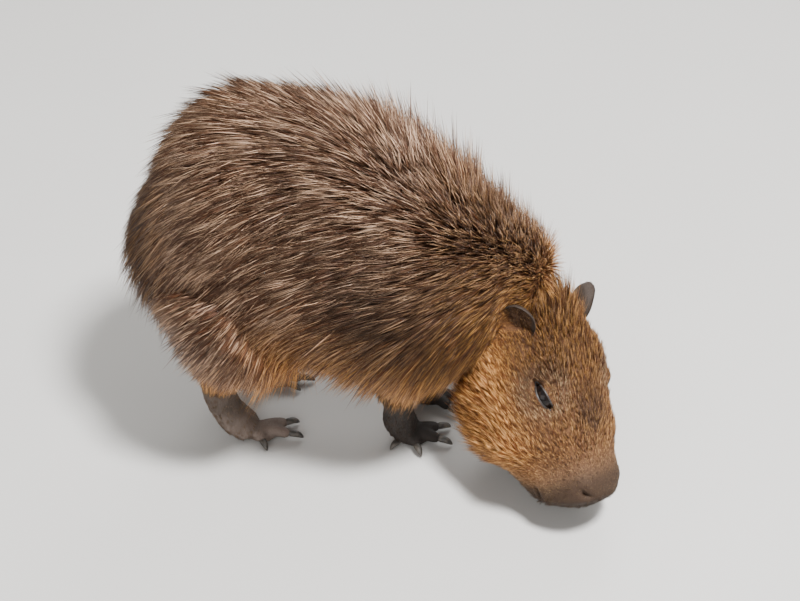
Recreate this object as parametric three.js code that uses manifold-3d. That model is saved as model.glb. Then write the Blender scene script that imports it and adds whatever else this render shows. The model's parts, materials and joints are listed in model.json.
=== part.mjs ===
// A young capybara grazing, as a still life-size model. Millimetres, +Z up, facing +X.
// The coated body is one loft along a bent spine, parted by thin cuts into torso, neck,
// thighs and shoulders. Head, ears, lower legs, feet and claws are lofts of their own.
import * as THREE from "three";
import { mergeVertices } from "three/addons/utils/BufferGeometryUtils.js";
import Module from "manifold-3d";

const wasm = await Module();
wasm.setup();

// Driving dimensions
const GAP = 0.35; // clearance where two pieces meet
const COAT = 24; // depth of the lying coat, skin to tips
const LEG_COAT = 12; // the same on the upper legs
const SHORT_FUR = 5; // depth of the fur on the head
const CORE = 0.45; // share of the coat's depth that is a core under its locks

// Stations of the trunk and neck, rump to nape: the middle of the body's section there,
// and its half height and half width at the skin
const TRUNK = [
  { at: [-222, 0, 264], tall: 64, wide: 94 },
  { at: [-172, 0, 280], tall: 101, wide: 115 },
  { at: [-92, 0, 303], tall: 160, wide: 131 },
  { at: [-12, 0, 311], tall: 140, wide: 128 },
  { at: [58, 0, 285], tall: 124, wide: 122 },
  { at: [114, 0, 256], tall: 117, wide: 116 },
  { at: [160, 5, 239], tall: 106, wide: 88 },
  { at: [200, 14, 225], tall: 90, wide: 62 },
  { at: [234, 16, 211], tall: 78, wide: 56 },
];
const RUMP_ROUND = 0.34; // share of the trunk's length over which the rump closes
const NAPE_ROUND = 0.06; // and the neck's end, inside the head
const RUMP_POINT = 1.1; // over 1 draws the rump out towards the tail
const PEAR = 0.1; // how much narrower the back is than the belly
const COAT_THINS = 0.78; // from here on the coat shortens towards the head
const NECK_STARTS = 0.66; // where along the spine the torso ends

// The head's frame: a point under the ears, and the way that the face points
const POLL = new THREE.Vector3(240, -3, 189);
const FACE_DOWN = 48; // degrees below level
const FACE_TURN = -56.5; // degrees from straight ahead, to the animal's right
const FACE_ROLL = -25; // degrees, left ear lower

// Stations of the head, nape to nose: distance along the face, half width,
// and the reach above and below the face's axis
const HEAD = [
  { along: -42, wide: 52, above: 44, below: 44 },
  { along: 0, wide: 66, above: 56, below: 72 },
  { along: 44, wide: 73, above: 61, below: 97 },
  { along: 88, wide: 75, above: 62, below: 108 },
  { along: 128, wide: 71, above: 59, below: 97 },
  { along: 162, wide: 56, above: 57, below: 70 },
  { along: 190, wide: 45, above: 51, below: 56 },
  { along: 210, wide: 42, above: 44, below: 46 },
];
const CHIN_BACK = 24; // how far the chin lies behind the nose
const SQUARE = 0.86; // under 1 squares off the head's sections
const JAW = 0.3; // how much narrower the muzzle is below than above
const POLL_ROUND = 0.12;
const NOSE_ROUND = 0.075;

// Swells and hollows of the head, on both sides where they lie off its middle:
// along the face, aside, towards the crown; how far each lifts the skin, and its reach
const SWELLS = [
  { at: [62, 42, 58], lift: 4, reach: 18 }, // brow
  { at: [108, 56, 34], lift: -5, reach: 22 }, // hollow before the eye
  { at: [48, 66, -38], lift: 6, reach: 36 }, // cheek
  { at: [130, 70, -14], lift: 8, reach: 26 }, // long hair of the cheek
  { at: [112, 0, 62], lift: 5, reach: 20 }, // scent gland on the bridge of the nose
  { at: [190, 32, 46], lift: 3, reach: 14 }, // wing of the nostril
  { at: [160, 46, 34], lift: -4, reach: 20 }, // hollow behind the nostril
];

// Legs: stations of the coated upper leg and of the bare lower leg, and the foot's toes.
// r is the half width across the leg, flat the other half width's share of it.
const LEGS = {
  hind_right: {
    upper: [
      { at: [-104, -72, 310], r: 70 },
      { at: [-96, -82, 220], r: 58, flat: 1.1 },
      { at: [-116, -70, 155], r: 32, flat: 1.1 },
      { at: [-128, -58, 104], r: 20, flat: 1.1 },
    ],
    lower: [
      { at: [-126, -60, 132], r: 22 },
      { at: [-132, -55, 84], r: 20 },
      { at: [-124, -50, 48], r: 21, flat: 0.9 },
      { at: [-112, -44, 24], r: 23, flat: 0.8 },
      { at: [-92, -42, 10], r: 22, flat: 0.6 },
    ],
    knuckles: [-92, -42, 11],
    toes: [
      [-75, -65, 6],
      [-38, -39, 6],
      [-48, -15, 6],
    ],
  },
  hind_left: {
    upper: [
      { at: [-92, 72, 310], r: 70 },
      { at: [-84, 82, 220], r: 58 },
      { at: [-106, 72, 155], r: 32, flat: 1.1 },
      { at: [-120, 64, 104], r: 20 },
    ],
    lower: [
      { at: [-120, 64, 132], r: 22 },
      { at: [-126, 61, 84], r: 20 },
      { at: [-120, 58, 48], r: 21, flat: 0.9 },
      { at: [-112, 56, 24], r: 23, flat: 0.8 },
      { at: [-98, 56, 10], r: 22, flat: 0.6 },
    ],
    knuckles: [-98, 56, 11],
    toes: [
      [-78, 84, 6],
      [-46, 66, 6],
      [-60, 46, 6],
    ],
  },
  fore_right: {
    upper: [
      { at: [114, -62, 250], r: 52 },
      { at: [104, -62, 190], r: 38, flat: 1.1 },
      { at: [94, -50, 135], r: 22, flat: 1.1 },
      { at: [88, -38, 96], r: 14 },
    ],
    lower: [
      { at: [82, -52, 128], r: 21 },
      { at: [88, -34, 76], r: 18 },
      { at: [86, -20, 40], r: 20 },
      { at: [92, -13, 20], r: 22, flat: 0.85 },
      { at: [104, -12, 10], r: 21, flat: 0.6 },
    ],
    knuckles: [98, -13, 11],
    toes: [
      [82, -37, 6],
      [116, -42, 6],
      [148, -18, 6],
      [142, 10, 6],
    ],
  },
  fore_left: {
    upper: [
      { at: [118, 62, 250], r: 52 },
      { at: [110, 66, 190], r: 38, flat: 1.1 },
      { at: [104, 68, 135], r: 22, flat: 1.1 },
      { at: [102, 66, 96], r: 14 },
    ],
    lower: [
      { at: [102, 70, 128], r: 21 },
      { at: [102, 66, 76], r: 20 },
      { at: [102, 62, 40], r: 20 },
      { at: [106, 60, 20], r: 22, flat: 0.85 },
      { at: [116, 60, 10], r: 21, flat: 0.6 },
    ],
    knuckles: [110, 60, 11],
    toes: [
      [96, 85, 6],
      [130, 88, 6],
      [158, 64, 6],
      [150, 36, 6],
    ],
  },
};
const ANKLE = 2; // the station of the lower leg at which the foot starts
const TOE = 9.5; // a toe's half width at its root
const TOE_END = 7.5; // and at its end
const CLAW = 17; // a claw's length past its toe's pad
const CLAW_WIDE = 5; // a claw's half width at its root
const WEB = { share: 0.35, along: 26, across: 22, thick: 8 }; // sole and web of the toes

// Locks of the long coat: length, width, thickness, and how far apart their roots lie;
// how they lie in the core and over it from root to tip, as shares of the coat's depth
const LOCK = { long: 111, wide: 72, thick: 9, apart: 57 };
const LEG_LOCK = { long: 70, wide: 52, thick: 5, apart: 53 };
const NECK_LOCK = { long: 84, wide: 56, thick: 7, apart: 47 };
const LOCK_RISE = [-0.2, 0.42, 0.68, 0.9, 1.05];
const LOCK_TAPER = [0, 1, 0.86, 0.52, 0];
const LOCK_STEPS = 16; // steps in which a lock's way is traced over the skin
const LOCK_SHORTEST = 0.45; // share of its length under which a stopped lock is left out
const LOCK_VARIES = 0.22; // how much locks vary in length, width and rise
const LOCK_BEND = 0.85; // cosine of the sharpest turn from step to step
const LOCK_CLEAR = 3; // how far a lock's tip stays from the next piece
const HANG = 0.45; // how much of the coat's lie on the flank is downwards
const HANG_LOW = [300, 180]; // heights over which it turns to hang
const CREST = { from: 0.5, to: 0.86, lift: 12 }; // hair that stands along the nape
const SEED = 13;

// Ears: the root, the way the ear stands and the way its cup faces, right side,
// in the head's frame (along the face, to the left, towards the crown)
const EAR_ROOT = [-3, -52, 33];
const EAR_STANDS = [-0.9, -0.22, 0.34];
const EAR_FACES = [0.45, -0.85, 0.2];
const EAR = { tall: 25, wide: 21, deep: 12, wall: 3.6, clear: 3 };

// Eyes, right side, in the head's frame: the eyeball, and the slit between the lids
const EYE_AT = [72, -50, 41];
const EYE_FACES = [0.05, -0.79, 0.61];
const EYE_RUNS = [0.97, 0.2, 0.15];
const EYEBALL = 15;
const LID = { long: 26, tall: 16, proud: 4 };
const SLIT = { long: 20, tall: 6, deep: 12 };

// Nostril pits and the line of the mouth, in the head's frame
const NOSTRIL = {
  at: [197, -31, 46],
  faces: [0.4, -0.6, 0.7],
  runs: [0.6, 0.8, 0],
  long: 10,
  tall: 4.5,
  deep: 9,
};
const MOUTH = { at: [190, 0, -22], along: 30, across: 60, tall: 1.8, deep: 7, tips: 3 };

const material = (color, roughness) =>
  new THREE.MeshStandardMaterial({ color, roughness, metalness: 0 });
const COAT_BROWN = material(0x5b4029, 0.8);
const FACE_BROWN = material(0x8a5c30, 0.75);
const BARE_SKIN = material(0x3b332f, 0.6);
const EYE_BLACK = material(0x0c0a09, 0.1);
const HORN = material(0x4a4540, 0.45);

const vector = (list) => new THREE.Vector3(...list);

// A closed geometry as a solid, its faces turned outwards
function solidOf(geometry) {
  const bare = geometry.clone();
  bare.deleteAttribute("normal");
  bare.deleteAttribute("uv");
  const merged = mergeVertices(bare, 1e-3);
  const corners = new Uint32Array(merged.index.array);
  const make = () =>
    new wasm.Manifold(
      new wasm.Mesh({
        numProp: 3,
        vertProperties: merged.getAttribute("position").array,
        triVerts: corners,
      }),
    );
  const solid = make();
  if (solid.volume() > 0) return solid;
  for (let i = 0; i < corners.length; i += 3) {
    [corners[i + 1], corners[i + 2]] = [corners[i + 2], corners[i + 1]];
  }
  return make();
}

const biggest = (parts) => parts.reduce((a, b) => (a.volume() > b.volume() ? a : b));

// The largest closed surface of a solid, also after faces without an area are dropped
function largest(solid) {
  const kept = biggest(solid.decompose()).getMesh();
  return biggest(new wasm.Manifold(kept).decompose());
}

const joined = (solids) => solids.reduce((a, b) => a.add(b));

// Random numbers from 0 to 1, the same on every build
function seeded(seed) {
  let state = seed;
  return () => {
    state = (Math.imul(state, 1664525) + 1013904223) >>> 0;
    return state / 2 ** 32;
  };
}

// A closed body swept from one pole to the other: section(reach, turn) gives its points
function loft(section, around, along) {
  const geometry = new THREE.SphereGeometry(1, around, along);
  const position = geometry.getAttribute("position");
  const uv = geometry.getAttribute("uv");
  for (let i = 0; i < position.count; i += 1) {
    const reach = 1 - uv.getY(i);
    const column = Math.round(uv.getX(i) * around) % around;
    const point = section(reach, (2 * Math.PI * column) / around);
    position.setXYZ(i, point.x, point.y, point.z);
  }
  return solidOf(geometry);
}

// Smooth values through rows of numbers, read at a share of the way along
function smooth(rows) {
  const width = rows[0].length;
  const curves = [];
  for (let i = 0; i < width; i += 3) {
    const points = rows.map((r) => vector([r[i], r[i + 1] ?? 0, r[i + 2] ?? 0]));
    curves.push(new THREE.CatmullRomCurve3(points, false, "catmullrom", 0.5));
  }
  return (share) => curves.flatMap((c) => c.getPoint(share).toArray()).slice(0, width);
}

// How far a rounded end has opened out, at a share of the end's length
const opening = (share) => Math.sqrt(1 - (1 - Math.min(1, share)) ** 2);

// How far a section has opened out between two rounded ends
const opened = (share, first, last) => opening(share / first) * opening((1 - share) / last);

// Rows crowd towards both poles, so that rounded ends are smooth
const crowded = (reach) => (1 - Math.cos(Math.PI * reach)) / 2;

// and on the head towards the nose alone
const nosed = (reach) => Math.sin((Math.PI / 2) * reach);

// The trunk's moving frame, carried along the spine without twist
const trunkAt = smooth(TRUNK.map((s) => [...s.at, s.tall, s.wide]));
const FRAME_STEPS = 200;
const spineFrames = (() => {
  const frames = [];
  const left = new THREE.Vector3(0, 1, 0);
  const near = (step) => {
    const share = Math.min(1, Math.max(0, step / FRAME_STEPS));
    return vector(trunkAt(share).slice(0, 3));
  };
  for (let i = 0; i <= FRAME_STEPS; i += 1) {
    const forward = near(i + 1).sub(near(i - 1)).normalize();
    left.addScaledVector(forward, -left.dot(forward)).normalize();
    frames.push({ forward, left: left.clone(), up: forward.clone().cross(left) });
  }
  return frames;
})();

// The frame at a share of the spine's length
function frameAt(share) {
  const step = Math.min(FRAME_STEPS - 1, Math.floor(share * FRAME_STEPS));
  const part = share * FRAME_STEPS - step;
  const between = (way) => spineFrames[step][way].clone().lerp(spineFrames[step + 1][way], part);
  return { forward: between("forward"), left: between("left"), up: between("up") };
}

// A point over the trunk's skin: share along the spine, turn about it, height above
function overTrunk(share, turn, height) {
  const [x, y, z, tall, wide] = trunkAt(share);
  const frame = frameAt(share);
  const open = opening(share / RUMP_ROUND) ** RUMP_POINT * opening((1 - share) / NAPE_ROUND);
  const side = Math.cos(turn) * (wide + height) * (1 - PEAR * Math.sin(turn)) * open;
  const rise = Math.sin(turn) * (tall + height) * open;
  const back = Math.max(0, 1 - share / RUMP_ROUND) * height;
  return vector([x, y, z])
    .addScaledVector(frame.left, side)
    .addScaledVector(frame.up, rise)
    .addScaledVector(frame.forward, -back);
}

// The coat's depth at a share along the spine: it shortens towards the head
function coatAt(share) {
  const late = Math.max(0, (share - COAT_THINS) / (1 - COAT_THINS));
  return THREE.MathUtils.lerp(COAT, SHORT_FUR, late);
}

// The head's frame
const turned = new THREE.Matrix4().makeRotationFromEuler(
  new THREE.Euler(
    THREE.MathUtils.degToRad(FACE_ROLL),
    THREE.MathUtils.degToRad(FACE_DOWN),
    THREE.MathUtils.degToRad(FACE_TURN),
    "ZYX",
  ),
);
const FACE = new THREE.Vector3();
const LEFT = new THREE.Vector3();
const CROWN = new THREE.Vector3();
turned.extractBasis(FACE, LEFT, CROWN);

// A direction and a point in the head's frame, as the room has them
function headWay([along, left, crown]) {
  return new THREE.Vector3()
    .addScaledVector(FACE, along)
    .addScaledVector(LEFT, left)
    .addScaledVector(CROWN, crown);
}
const onHead = (place) => headWay(place).add(POLL);
const mirrored = ([along, left, crown]) => [along, -left, crown];

const headAt = smooth(HEAD.map((s) => [s.along, s.wide, s.above, s.below]));
const squared = (value) => Math.sign(value) * Math.abs(value) ** SQUARE;

// How far the swells and hollows lift the head's skin at a place in its frame
function swelling(place) {
  let lift = 0;
  for (const swell of SWELLS) {
    const aside = Math.abs(place.y) - swell.at[1];
    const away = Math.hypot(place.x - swell.at[0], aside, place.z - swell.at[2]);
    lift += swell.lift * Math.exp(-((away / swell.reach) ** 2));
  }
  return lift;
}

// A point over the head's skin
function overHead(share, turn, height) {
  const [along, wide, above, below] = headAt(share);
  const open = opened(share, POLL_ROUND, NOSE_ROUND);
  const high = Math.sin(turn) > 0 ? above : below;
  const low = Math.max(0, -Math.sin(turn));
  const jaw = 1 - JAW * low * THREE.MathUtils.smoothstep(share, 0.55, 0.95);
  const chin = CHIN_BACK * share ** 3 * (1 - Math.sin(turn)) * 0.5;
  const place = new THREE.Vector3(
    along + height * (2 * share - 1) - chin * open,
    squared(Math.cos(turn)) * (wide + height) * open * jaw,
    squared(Math.sin(turn)) * (high + height) * open,
  );
  const lift = swelling(place) * open;
  place.y += Math.cos(turn) * lift;
  place.z += Math.sin(turn) * lift;
  return onHead(place.toArray());
}

// A point over a limb through stations: oval sections across the way that it runs
function overLimb(stations) {
  const at = smooth(stations.map((s) => [...s.at, s.r, s.flat ?? 1]));
  const round = 0.5 / (stations.length - 1);
  const near = (share) => vector(at(Math.min(1, Math.max(0, share))).slice(0, 3));
  return (share, turn, grow) => {
    const [x, y, z, r, flat] = at(share);
    const forward = near(share + 0.02).sub(near(share - 0.02)).normalize();
    const left = new THREE.Vector3(0, 1, 0).addScaledVector(forward, -forward.y);
    left.normalize();
    const up = forward.clone().cross(left);
    const open = opened(share, round, round);
    return vector([x, y, z])
      .addScaledVector(left, Math.cos(turn) * open * (r + grow))
      .addScaledVector(up, Math.sin(turn) * open * (r * flat + grow))
      .addScaledVector(forward, (2 * share - 1) * grow);
  };
}

function limb(stations, around, along, grow = 0) {
  const over = overLimb(stations);
  return loft((reach, turn) => over(crowded(reach), turn, grow), around, along);
}

// An ellipsoid with its own axes: half lengths along three directions
function ellipsoid(centre, axes, around, along) {
  const basis = new THREE.Matrix4().makeBasis(...axes);
  const geometry = new THREE.SphereGeometry(1, around, along);
  return solidOf(geometry.applyMatrix4(basis.setPosition(centre)));
}

// Three square directions on the head: the way a thing faces, the way it runs, and across
function facing(faces, runs) {
  const out = headWay(faces).normalize();
  const long = headWay(runs);
  long.addScaledVector(out, -long.dot(out)).normalize();
  return { out, long, up: out.clone().cross(long) };
}

const nodes = new Map();

// Head, with its mouth, nostrils, lids and eye sockets cut in; eyes and ears, both sides
const headSolid = (grow, around = 24, along = 24) =>
  loft((reach, turn) => overHead(nosed(reach), turn, grow), around, along);
const headRoom = headSolid(SHORT_FUR + GAP);
const mouthSlit = ellipsoid(
  onHead(MOUTH.at),
  [headWay([MOUTH.along, 0, -MOUTH.tips]), headWay([0, MOUTH.across, 0]), headWay([0, 0, MOUTH.tall])],
  10,
  4,
).subtract(headSolid(SHORT_FUR - MOUTH.deep, 8, 8));
let head = headSolid(SHORT_FUR).subtract(mouthSlit);
let earRoom = null;
const earMiddles = [];

for (const side of ["right", "left"]) {
  const hand = side === "right" ? (place) => place : mirrored;

  const look = facing(hand(EYE_FACES), hand(EYE_RUNS));
  const centre = onHead(hand(EYE_AT));
  const opens = (long, tall, deep, out) =>
    ellipsoid(
      centre.clone().addScaledVector(look.out, out),
      [
        look.long.clone().multiplyScalar(long),
        look.up.clone().multiplyScalar(tall),
        look.out.clone().multiplyScalar(deep),
      ],
      12,
      8,
    );
  const ball = (radius) => opens(radius, radius, radius, 0);
  head = head
    .add(opens(LID.long, LID.tall, EYEBALL + LID.proud, 0))
    .subtract(opens(SLIT.long, SLIT.tall, SLIT.deep, EYEBALL))
    .subtract(ball(EYEBALL + GAP));
  nodes.set(`eye_${side}`, [ball(EYEBALL), EYE_BLACK]);

  const snout = facing(hand(NOSTRIL.faces), hand(NOSTRIL.runs));
  head = head.subtract(
    ellipsoid(
      onHead(hand(NOSTRIL.at)),
      [
        snout.up.clone().multiplyScalar(NOSTRIL.tall),
        snout.long.clone().multiplyScalar(NOSTRIL.long),
        snout.out.clone().multiplyScalar(NOSTRIL.deep),
      ],
      8,
      6,
    ),
  );

  const cup = facing(hand(EAR_FACES), hand(EAR_STANDS));
  const middle = onHead(hand(EAR_ROOT)).addScaledVector(cup.long, EAR.tall * 0.7);
  const shell = (grow, out, deeper) =>
    ellipsoid(
      middle.clone().addScaledVector(cup.out, out),
      [
        cup.up.clone().multiplyScalar(EAR.wide + grow),
        cup.long.clone().multiplyScalar(EAR.tall + grow),
        cup.out.clone().multiplyScalar(EAR.deep + deeper),
      ],
      11,
      7,
    );
  const hollow = shell(-EAR.wall, EAR.deep * 0.8, -EAR.wall * 0.5);
  const ear = shell(0, 0, 0).subtract(hollow).subtract(headRoom);
  nodes.set(`ear_${side}`, [largest(ear), BARE_SKIN]);
  const room = shell(EAR.clear, EAR.deep * 0.4, EAR.deep * 0.7);
  earRoom = earRoom ? earRoom.add(room) : room;
  earMiddles.push(middle);
}
nodes.set("head", [largest(head), FACE_BROWN]);

// Legs: the bare lower leg and the foot are made as one and parted at the ankle
const lowerRoom = [];
for (const [name, leg] of Object.entries(LEGS)) {
  lowerRoom.push(limb(leg.lower, 9, 7, GAP));
  const root = vector(leg.knuckles);
  const lift = new THREE.Vector3(0, 0, 1);
  const middle = leg.toes
    .reduce((sum, tip) => sum.add(vector(tip)), new THREE.Vector3())
    .divideScalar(leg.toes.length);
  const ahead = middle.clone().sub(root).setZ(0).normalize();
  const parts = [
    limb(leg.lower, 9, 7),
    ellipsoid(
      root.clone().lerp(middle, WEB.share).setZ(WEB.thick - 1),
      [
        ahead.clone().multiplyScalar(WEB.along),
        ahead.clone().cross(lift).multiplyScalar(WEB.across),
        lift.clone().multiplyScalar(WEB.thick),
      ],
      8,
      5,
    ),
  ];
  const claws = [];
  leg.toes.forEach((tip, index) => {
    const end = vector(tip);
    const way = end.clone().sub(root).normalize();
    const along = (share, rise) => root.clone().lerp(end, share).addScaledVector(lift, rise);
    const last = end.clone().addScaledVector(way, -CLAW * 0.6);
    parts.push(
      limb(
        [
          { at: root.toArray(), r: TOE },
          { at: along(0.55, 2.5).toArray(), r: TOE * 0.95 },
          { at: last.toArray(), r: TOE_END },
        ],
        6,
        5,
      ),
    );
    claws.push([
      `claw_${name}_${index + 1}`,
      [
        { at: last.clone().addScaledVector(way, -5).setZ(9.5).toArray(), r: CLAW_WIDE },
        { at: end.clone().setZ(8).toArray(), r: CLAW_WIDE * 0.8, flat: 0.9 },
        { at: end.clone().addScaledVector(way, 7).setZ(3).toArray(), r: CLAW_WIDE * 0.4 },
      ],
    ]);
  });
  let foot = joined(parts);
  for (const [clawName, stations] of claws) {
    foot = foot.subtract(limb(stations, 6, 4, GAP));
    nodes.set(clawName, [largest(limb(stations, 6, 4).trimByPlane([0, 0, 1], 0)), HORN]);
  }
  foot = foot.trimByPlane([0, 0, 1], 0);
  const ankle = vector(leg.lower[ANKLE].at);
  const down = vector(leg.lower[ANKLE + 1].at).sub(vector(leg.lower[ANKLE - 1].at)).normalize();
  const level = ankle.dot(down);
  nodes.set(`foot_${name}`, [
    largest(foot.trimByPlane(down.toArray(), level + GAP / 2)),
    BARE_SKIN,
  ]);
  nodes.set(`lower_leg_${name}`, [
    largest(foot.trimByPlane(down.negate().toArray(), -level + GAP / 2)),
    BARE_SKIN,
  ]);
}

// The coated body: a core for the trunk and each upper leg
const coreAt = (share, turn, height) => overTrunk(share, turn, coatAt(share) * CORE + height);
const trunkCore = loft((reach, turn) => coreAt(crowded(reach), turn, 0), 20, 19);
const upperCores = Object.values(LEGS).map((leg) => limb(leg.upper, 11, 7, LEG_COAT * CORE));

// The room of each upper leg, at which it is parted from the torso
const legRooms = new Map(
  Object.entries(LEGS).map(([name, { upper }]) => {
    const [, thigh, knee, shin] = upper.map((s) => vector(s.at));
    return [
      name,
      [
        { at: thigh.clone().lerp(knee, -0.3).toArray(), r: upper[1].r * 0.5 },
        { at: thigh.toArray(), r: upper[1].r * 0.8 },
        { at: knee.toArray(), r: upper[2].r },
        { at: shin.toArray(), r: upper[3].r + 4 },
        { at: shin.clone().lerp(knee, -0.8).toArray(), r: upper[3].r + 8 },
      ],
    ];
  }),
);
const ROOM = LEG_COAT + 8; // how far a leg's room reaches past its skin
const legRoom = (name, grow) => limb(legRooms.get(name), 14, 9, ROOM + grow);

// Points spread over a surface, each with the way it faces
function studded(over, around, along, more) {
  const list = [];
  for (let i = 1; i < along; i += 1) {
    const share = i / along;
    for (let j = 0; j < around; j += 1) {
      const turn = (2 * Math.PI * j) / around;
      const at = over(share, turn, 0);
      const ahead = over(share + 0.002, turn, 0).sub(at);
      const aside = over(share, turn + 0.01, 0).sub(at);
      const faces = ahead.cross(aside).normalize();
      if (faces.dot(over(share, turn, 1).sub(at)) < 0) faces.negate();
      list.push({ at, faces, ...more(share) });
    }
  }
  return list;
}

// How far a place lies outside a studded surface
function outside(list, place) {
  let nearest = list[0];
  for (const stud of list) {
    if (stud.at.distanceToSquared(place) < nearest.at.distanceToSquared(place)) nearest = stud;
  }
  return place.clone().sub(nearest.at).dot(nearest.faces);
}

const BARE = () => ({});
const furred = (share, turn, height) => overHead(share, turn, SHORT_FUR + height);
const headStuds = studded(furred, 24, 24, BARE);
const roomStuds = new Map(
  [...legRooms].map(([name, stations]) => {
    const over = overLimb(stations);
    const roomy = (share, turn, height) => over(share, turn, ROOM + height);
    return [name, studded(roomy, 20, 20, BARE)];
  }),
);
const neckFrom = vector(trunkAt(NECK_STARTS).slice(0, 3));
const neckWay = frameAt(NECK_STARTS).forward;
const neckLevel = neckFrom.dot(neckWay);

// Which piece a place belongs to
function pieceAt(place) {
  if (outside(headStuds, place) < LOCK_CLEAR) return "head";
  if (earMiddles.some((ear) => ear.distanceTo(place) < EAR.tall + LOCK_CLEAR)) return "ear";
  for (const [name, list] of roomStuds) {
    if (outside(list, place) < 0) return name;
  }
  return place.dot(neckWay) > neckLevel ? "neck" : "torso";
}

// The coat's studs on trunk and legs, with the coat's depth, its lie and its kind of lock
const trunkStuds = studded(coreAt, 84, 96, (share) => ({
  depth: coatAt(share),
  back: frameAt(share).forward.negate(),
  hang: THREE.MathUtils.smoothstep(0.3 - share, 0, 0.3),
  crest: THREE.MathUtils.smoothstep(share, CREST.from, CREST.from + 0.1) * (share < CREST.to),
  size: share > NECK_STARTS ? NECK_LOCK : LOCK,
}));
const legStuds = Object.values(LEGS).flatMap((leg) => {
  const over = overLimb(leg.upper);
  const core = (share, turn, height) => over(share, turn, LEG_COAT * CORE + height);
  return studded(core, 24, 28, () => ({
    depth: LEG_COAT,
    back: new THREE.Vector3(-1, 0, 0),
    hang: 1,
    crest: 0,
    size: LEG_LOCK,
  }));
});
const coatStuds = [
  ...trunkStuds.filter(({ at }) => outside(legStuds, at) > -1),
  ...legStuds.filter(({ at }) => outside(trunkStuds, at) > -1),
].filter(({ at }) => outside(headStuds, at) > 0);

// The coat's surface beneath a place: how far below it lies, and the coat's lie there
function coatUnder(place) {
  const found = { weight: 0, above: 0, depth: 0, crest: 0 };
  const faces = new THREE.Vector3();
  const lies = new THREE.Vector3();
  for (const stud of coatStuds) {
    const away = stud.at.distanceToSquared(place);
    if (away > 900) continue;
    const weight = Math.exp(-away / 120);
    const low = 1 - THREE.MathUtils.smoothstep(place.z, HANG_LOW[1], HANG_LOW[0]);
    const hang = THREE.MathUtils.lerp(HANG, 1, Math.max(stud.hang, low * 0.6));
    found.weight += weight;
    found.above += weight * place.clone().sub(stud.at).dot(stud.faces);
    found.depth += weight * stud.depth;
    found.crest += weight * stud.crest * Math.max(0, stud.faces.z - 0.3);
    faces.addScaledVector(stud.faces, weight);
    lies.addScaledVector(stud.back, weight * (1.15 - hang)).z -= weight * hang;
  }
  if (found.weight < 1e-6) return null;
  faces.normalize();
  lies.addScaledVector(faces, -lies.dot(faces)).normalize();
  return {
    above: found.above / found.weight,
    depth: found.depth / found.weight,
    crest: found.crest / found.weight,
    faces,
    lies,
  };
}

// The way of a lock over the skin: from its root along the coat's lie, as far as its piece
// goes; low down its end leaves the skin and hangs
function lockWay(root, long, sway) {
  const home = pieceAt(root);
  const way = [];
  const place = root.clone();
  const runs = new THREE.Vector3();
  const ran = new THREE.Vector3();
  for (let i = 0; i <= LOCK_STEPS; i += 1) {
    const under = coatUnder(place);
    if (!under) break;
    const hangs = i > LOCK_STEPS / 2 && under.faces.z < -0.3 && runs.z < -0.3;
    if (!hangs) {
      place.addScaledVector(under.faces, -under.above);
      runs.copy(under.lies).applyAxisAngle(under.faces, sway);
    }
    if (i > 0 && runs.dot(ran) < LOCK_BEND) break;
    ran.copy(runs);
    if (pieceAt(place.clone().addScaledVector(runs, LOCK_CLEAR)) !== home) break;
    way.push({ place: place.clone(), faces: under.faces, depth: under.depth, crest: under.crest });
    place.addScaledVector(runs, long / LOCK_STEPS);
  }
  return way;
}

// A lock: a flat tapered blade, sunk at its root, that rises out of the core to its tip
function lock(way, size, wider, higher) {
  const last = way.length - 1;
  const rings = LOCK_RISE.length - 1;
  return loft(
    (reach, turn) => {
      const ring = Math.round(reach * rings);
      const step = Math.round(reach * last);
      const { place, faces, depth, crest } = way[step];
      const ahead = way[Math.min(last, step + 1)].place.clone();
      const runs = ahead.sub(way[Math.max(0, step - 1)].place);
      const across = runs.cross(faces).normalize();
      const rise = (LOCK_RISE[ring] - CORE + reach * reach * higher) * depth;
      const full = Math.min(1, depth / COAT + 0.35);
      return place
        .clone()
        .addScaledVector(faces, rise + crest * CREST.lift * reach * reach)
        .addScaledVector(across, Math.cos(turn) * LOCK_TAPER[ring] * size.wide * wider * 0.5)
        .addScaledVector(faces, Math.sin(turn) * LOCK_TAPER[ring] * size.thick * full * 0.5);
    },
    4,
    rings,
  );
}

// Locks all over the coat, their roots spread evenly
const random = seeded(SEED);
const vary = () => 1 + (random() - 0.5) * 2 * LOCK_VARIES;
const locks = [];
const roots = [];
const order = coatStuds.map((stud) => ({ stud, place: random() })).sort((a, b) => a.place - b.place);
for (const { stud } of order) {
  if (roots.some((root) => root.distanceTo(stud.at) < stud.size.apart)) continue;
  const way = lockWay(stud.at, stud.size.long * vary(), (vary() - 1) * 0.8);
  if (way.length - 1 < LOCK_STEPS * LOCK_SHORTEST) continue;
  roots.push(stud.at);
  locks.push(lock(way, stud.size, vary(), (vary() - 1) * 0.5));
}

// The coat and its locks as one, parted by thin cuts
let body = wasm.Manifold.union([trunkCore, ...upperCores, ...locks])
  .subtract(joined(lowerRoom))
  .subtract(headRoom)
  .subtract(earRoom);
for (const name of legRooms.keys()) {
  nodes.set(`upper_leg_${name}`, [largest(body.intersect(legRoom(name, 0))), COAT_BROWN]);
  body = body.subtract(legRoom(name, GAP));
}
nodes.set("torso", [
  largest(body.trimByPlane(neckWay.clone().negate().toArray(), -neckLevel + GAP / 2)),
  COAT_BROWN,
]);
nodes.set("neck", [largest(body.trimByPlane(neckWay.toArray(), neckLevel + GAP / 2)), COAT_BROWN]);

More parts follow.
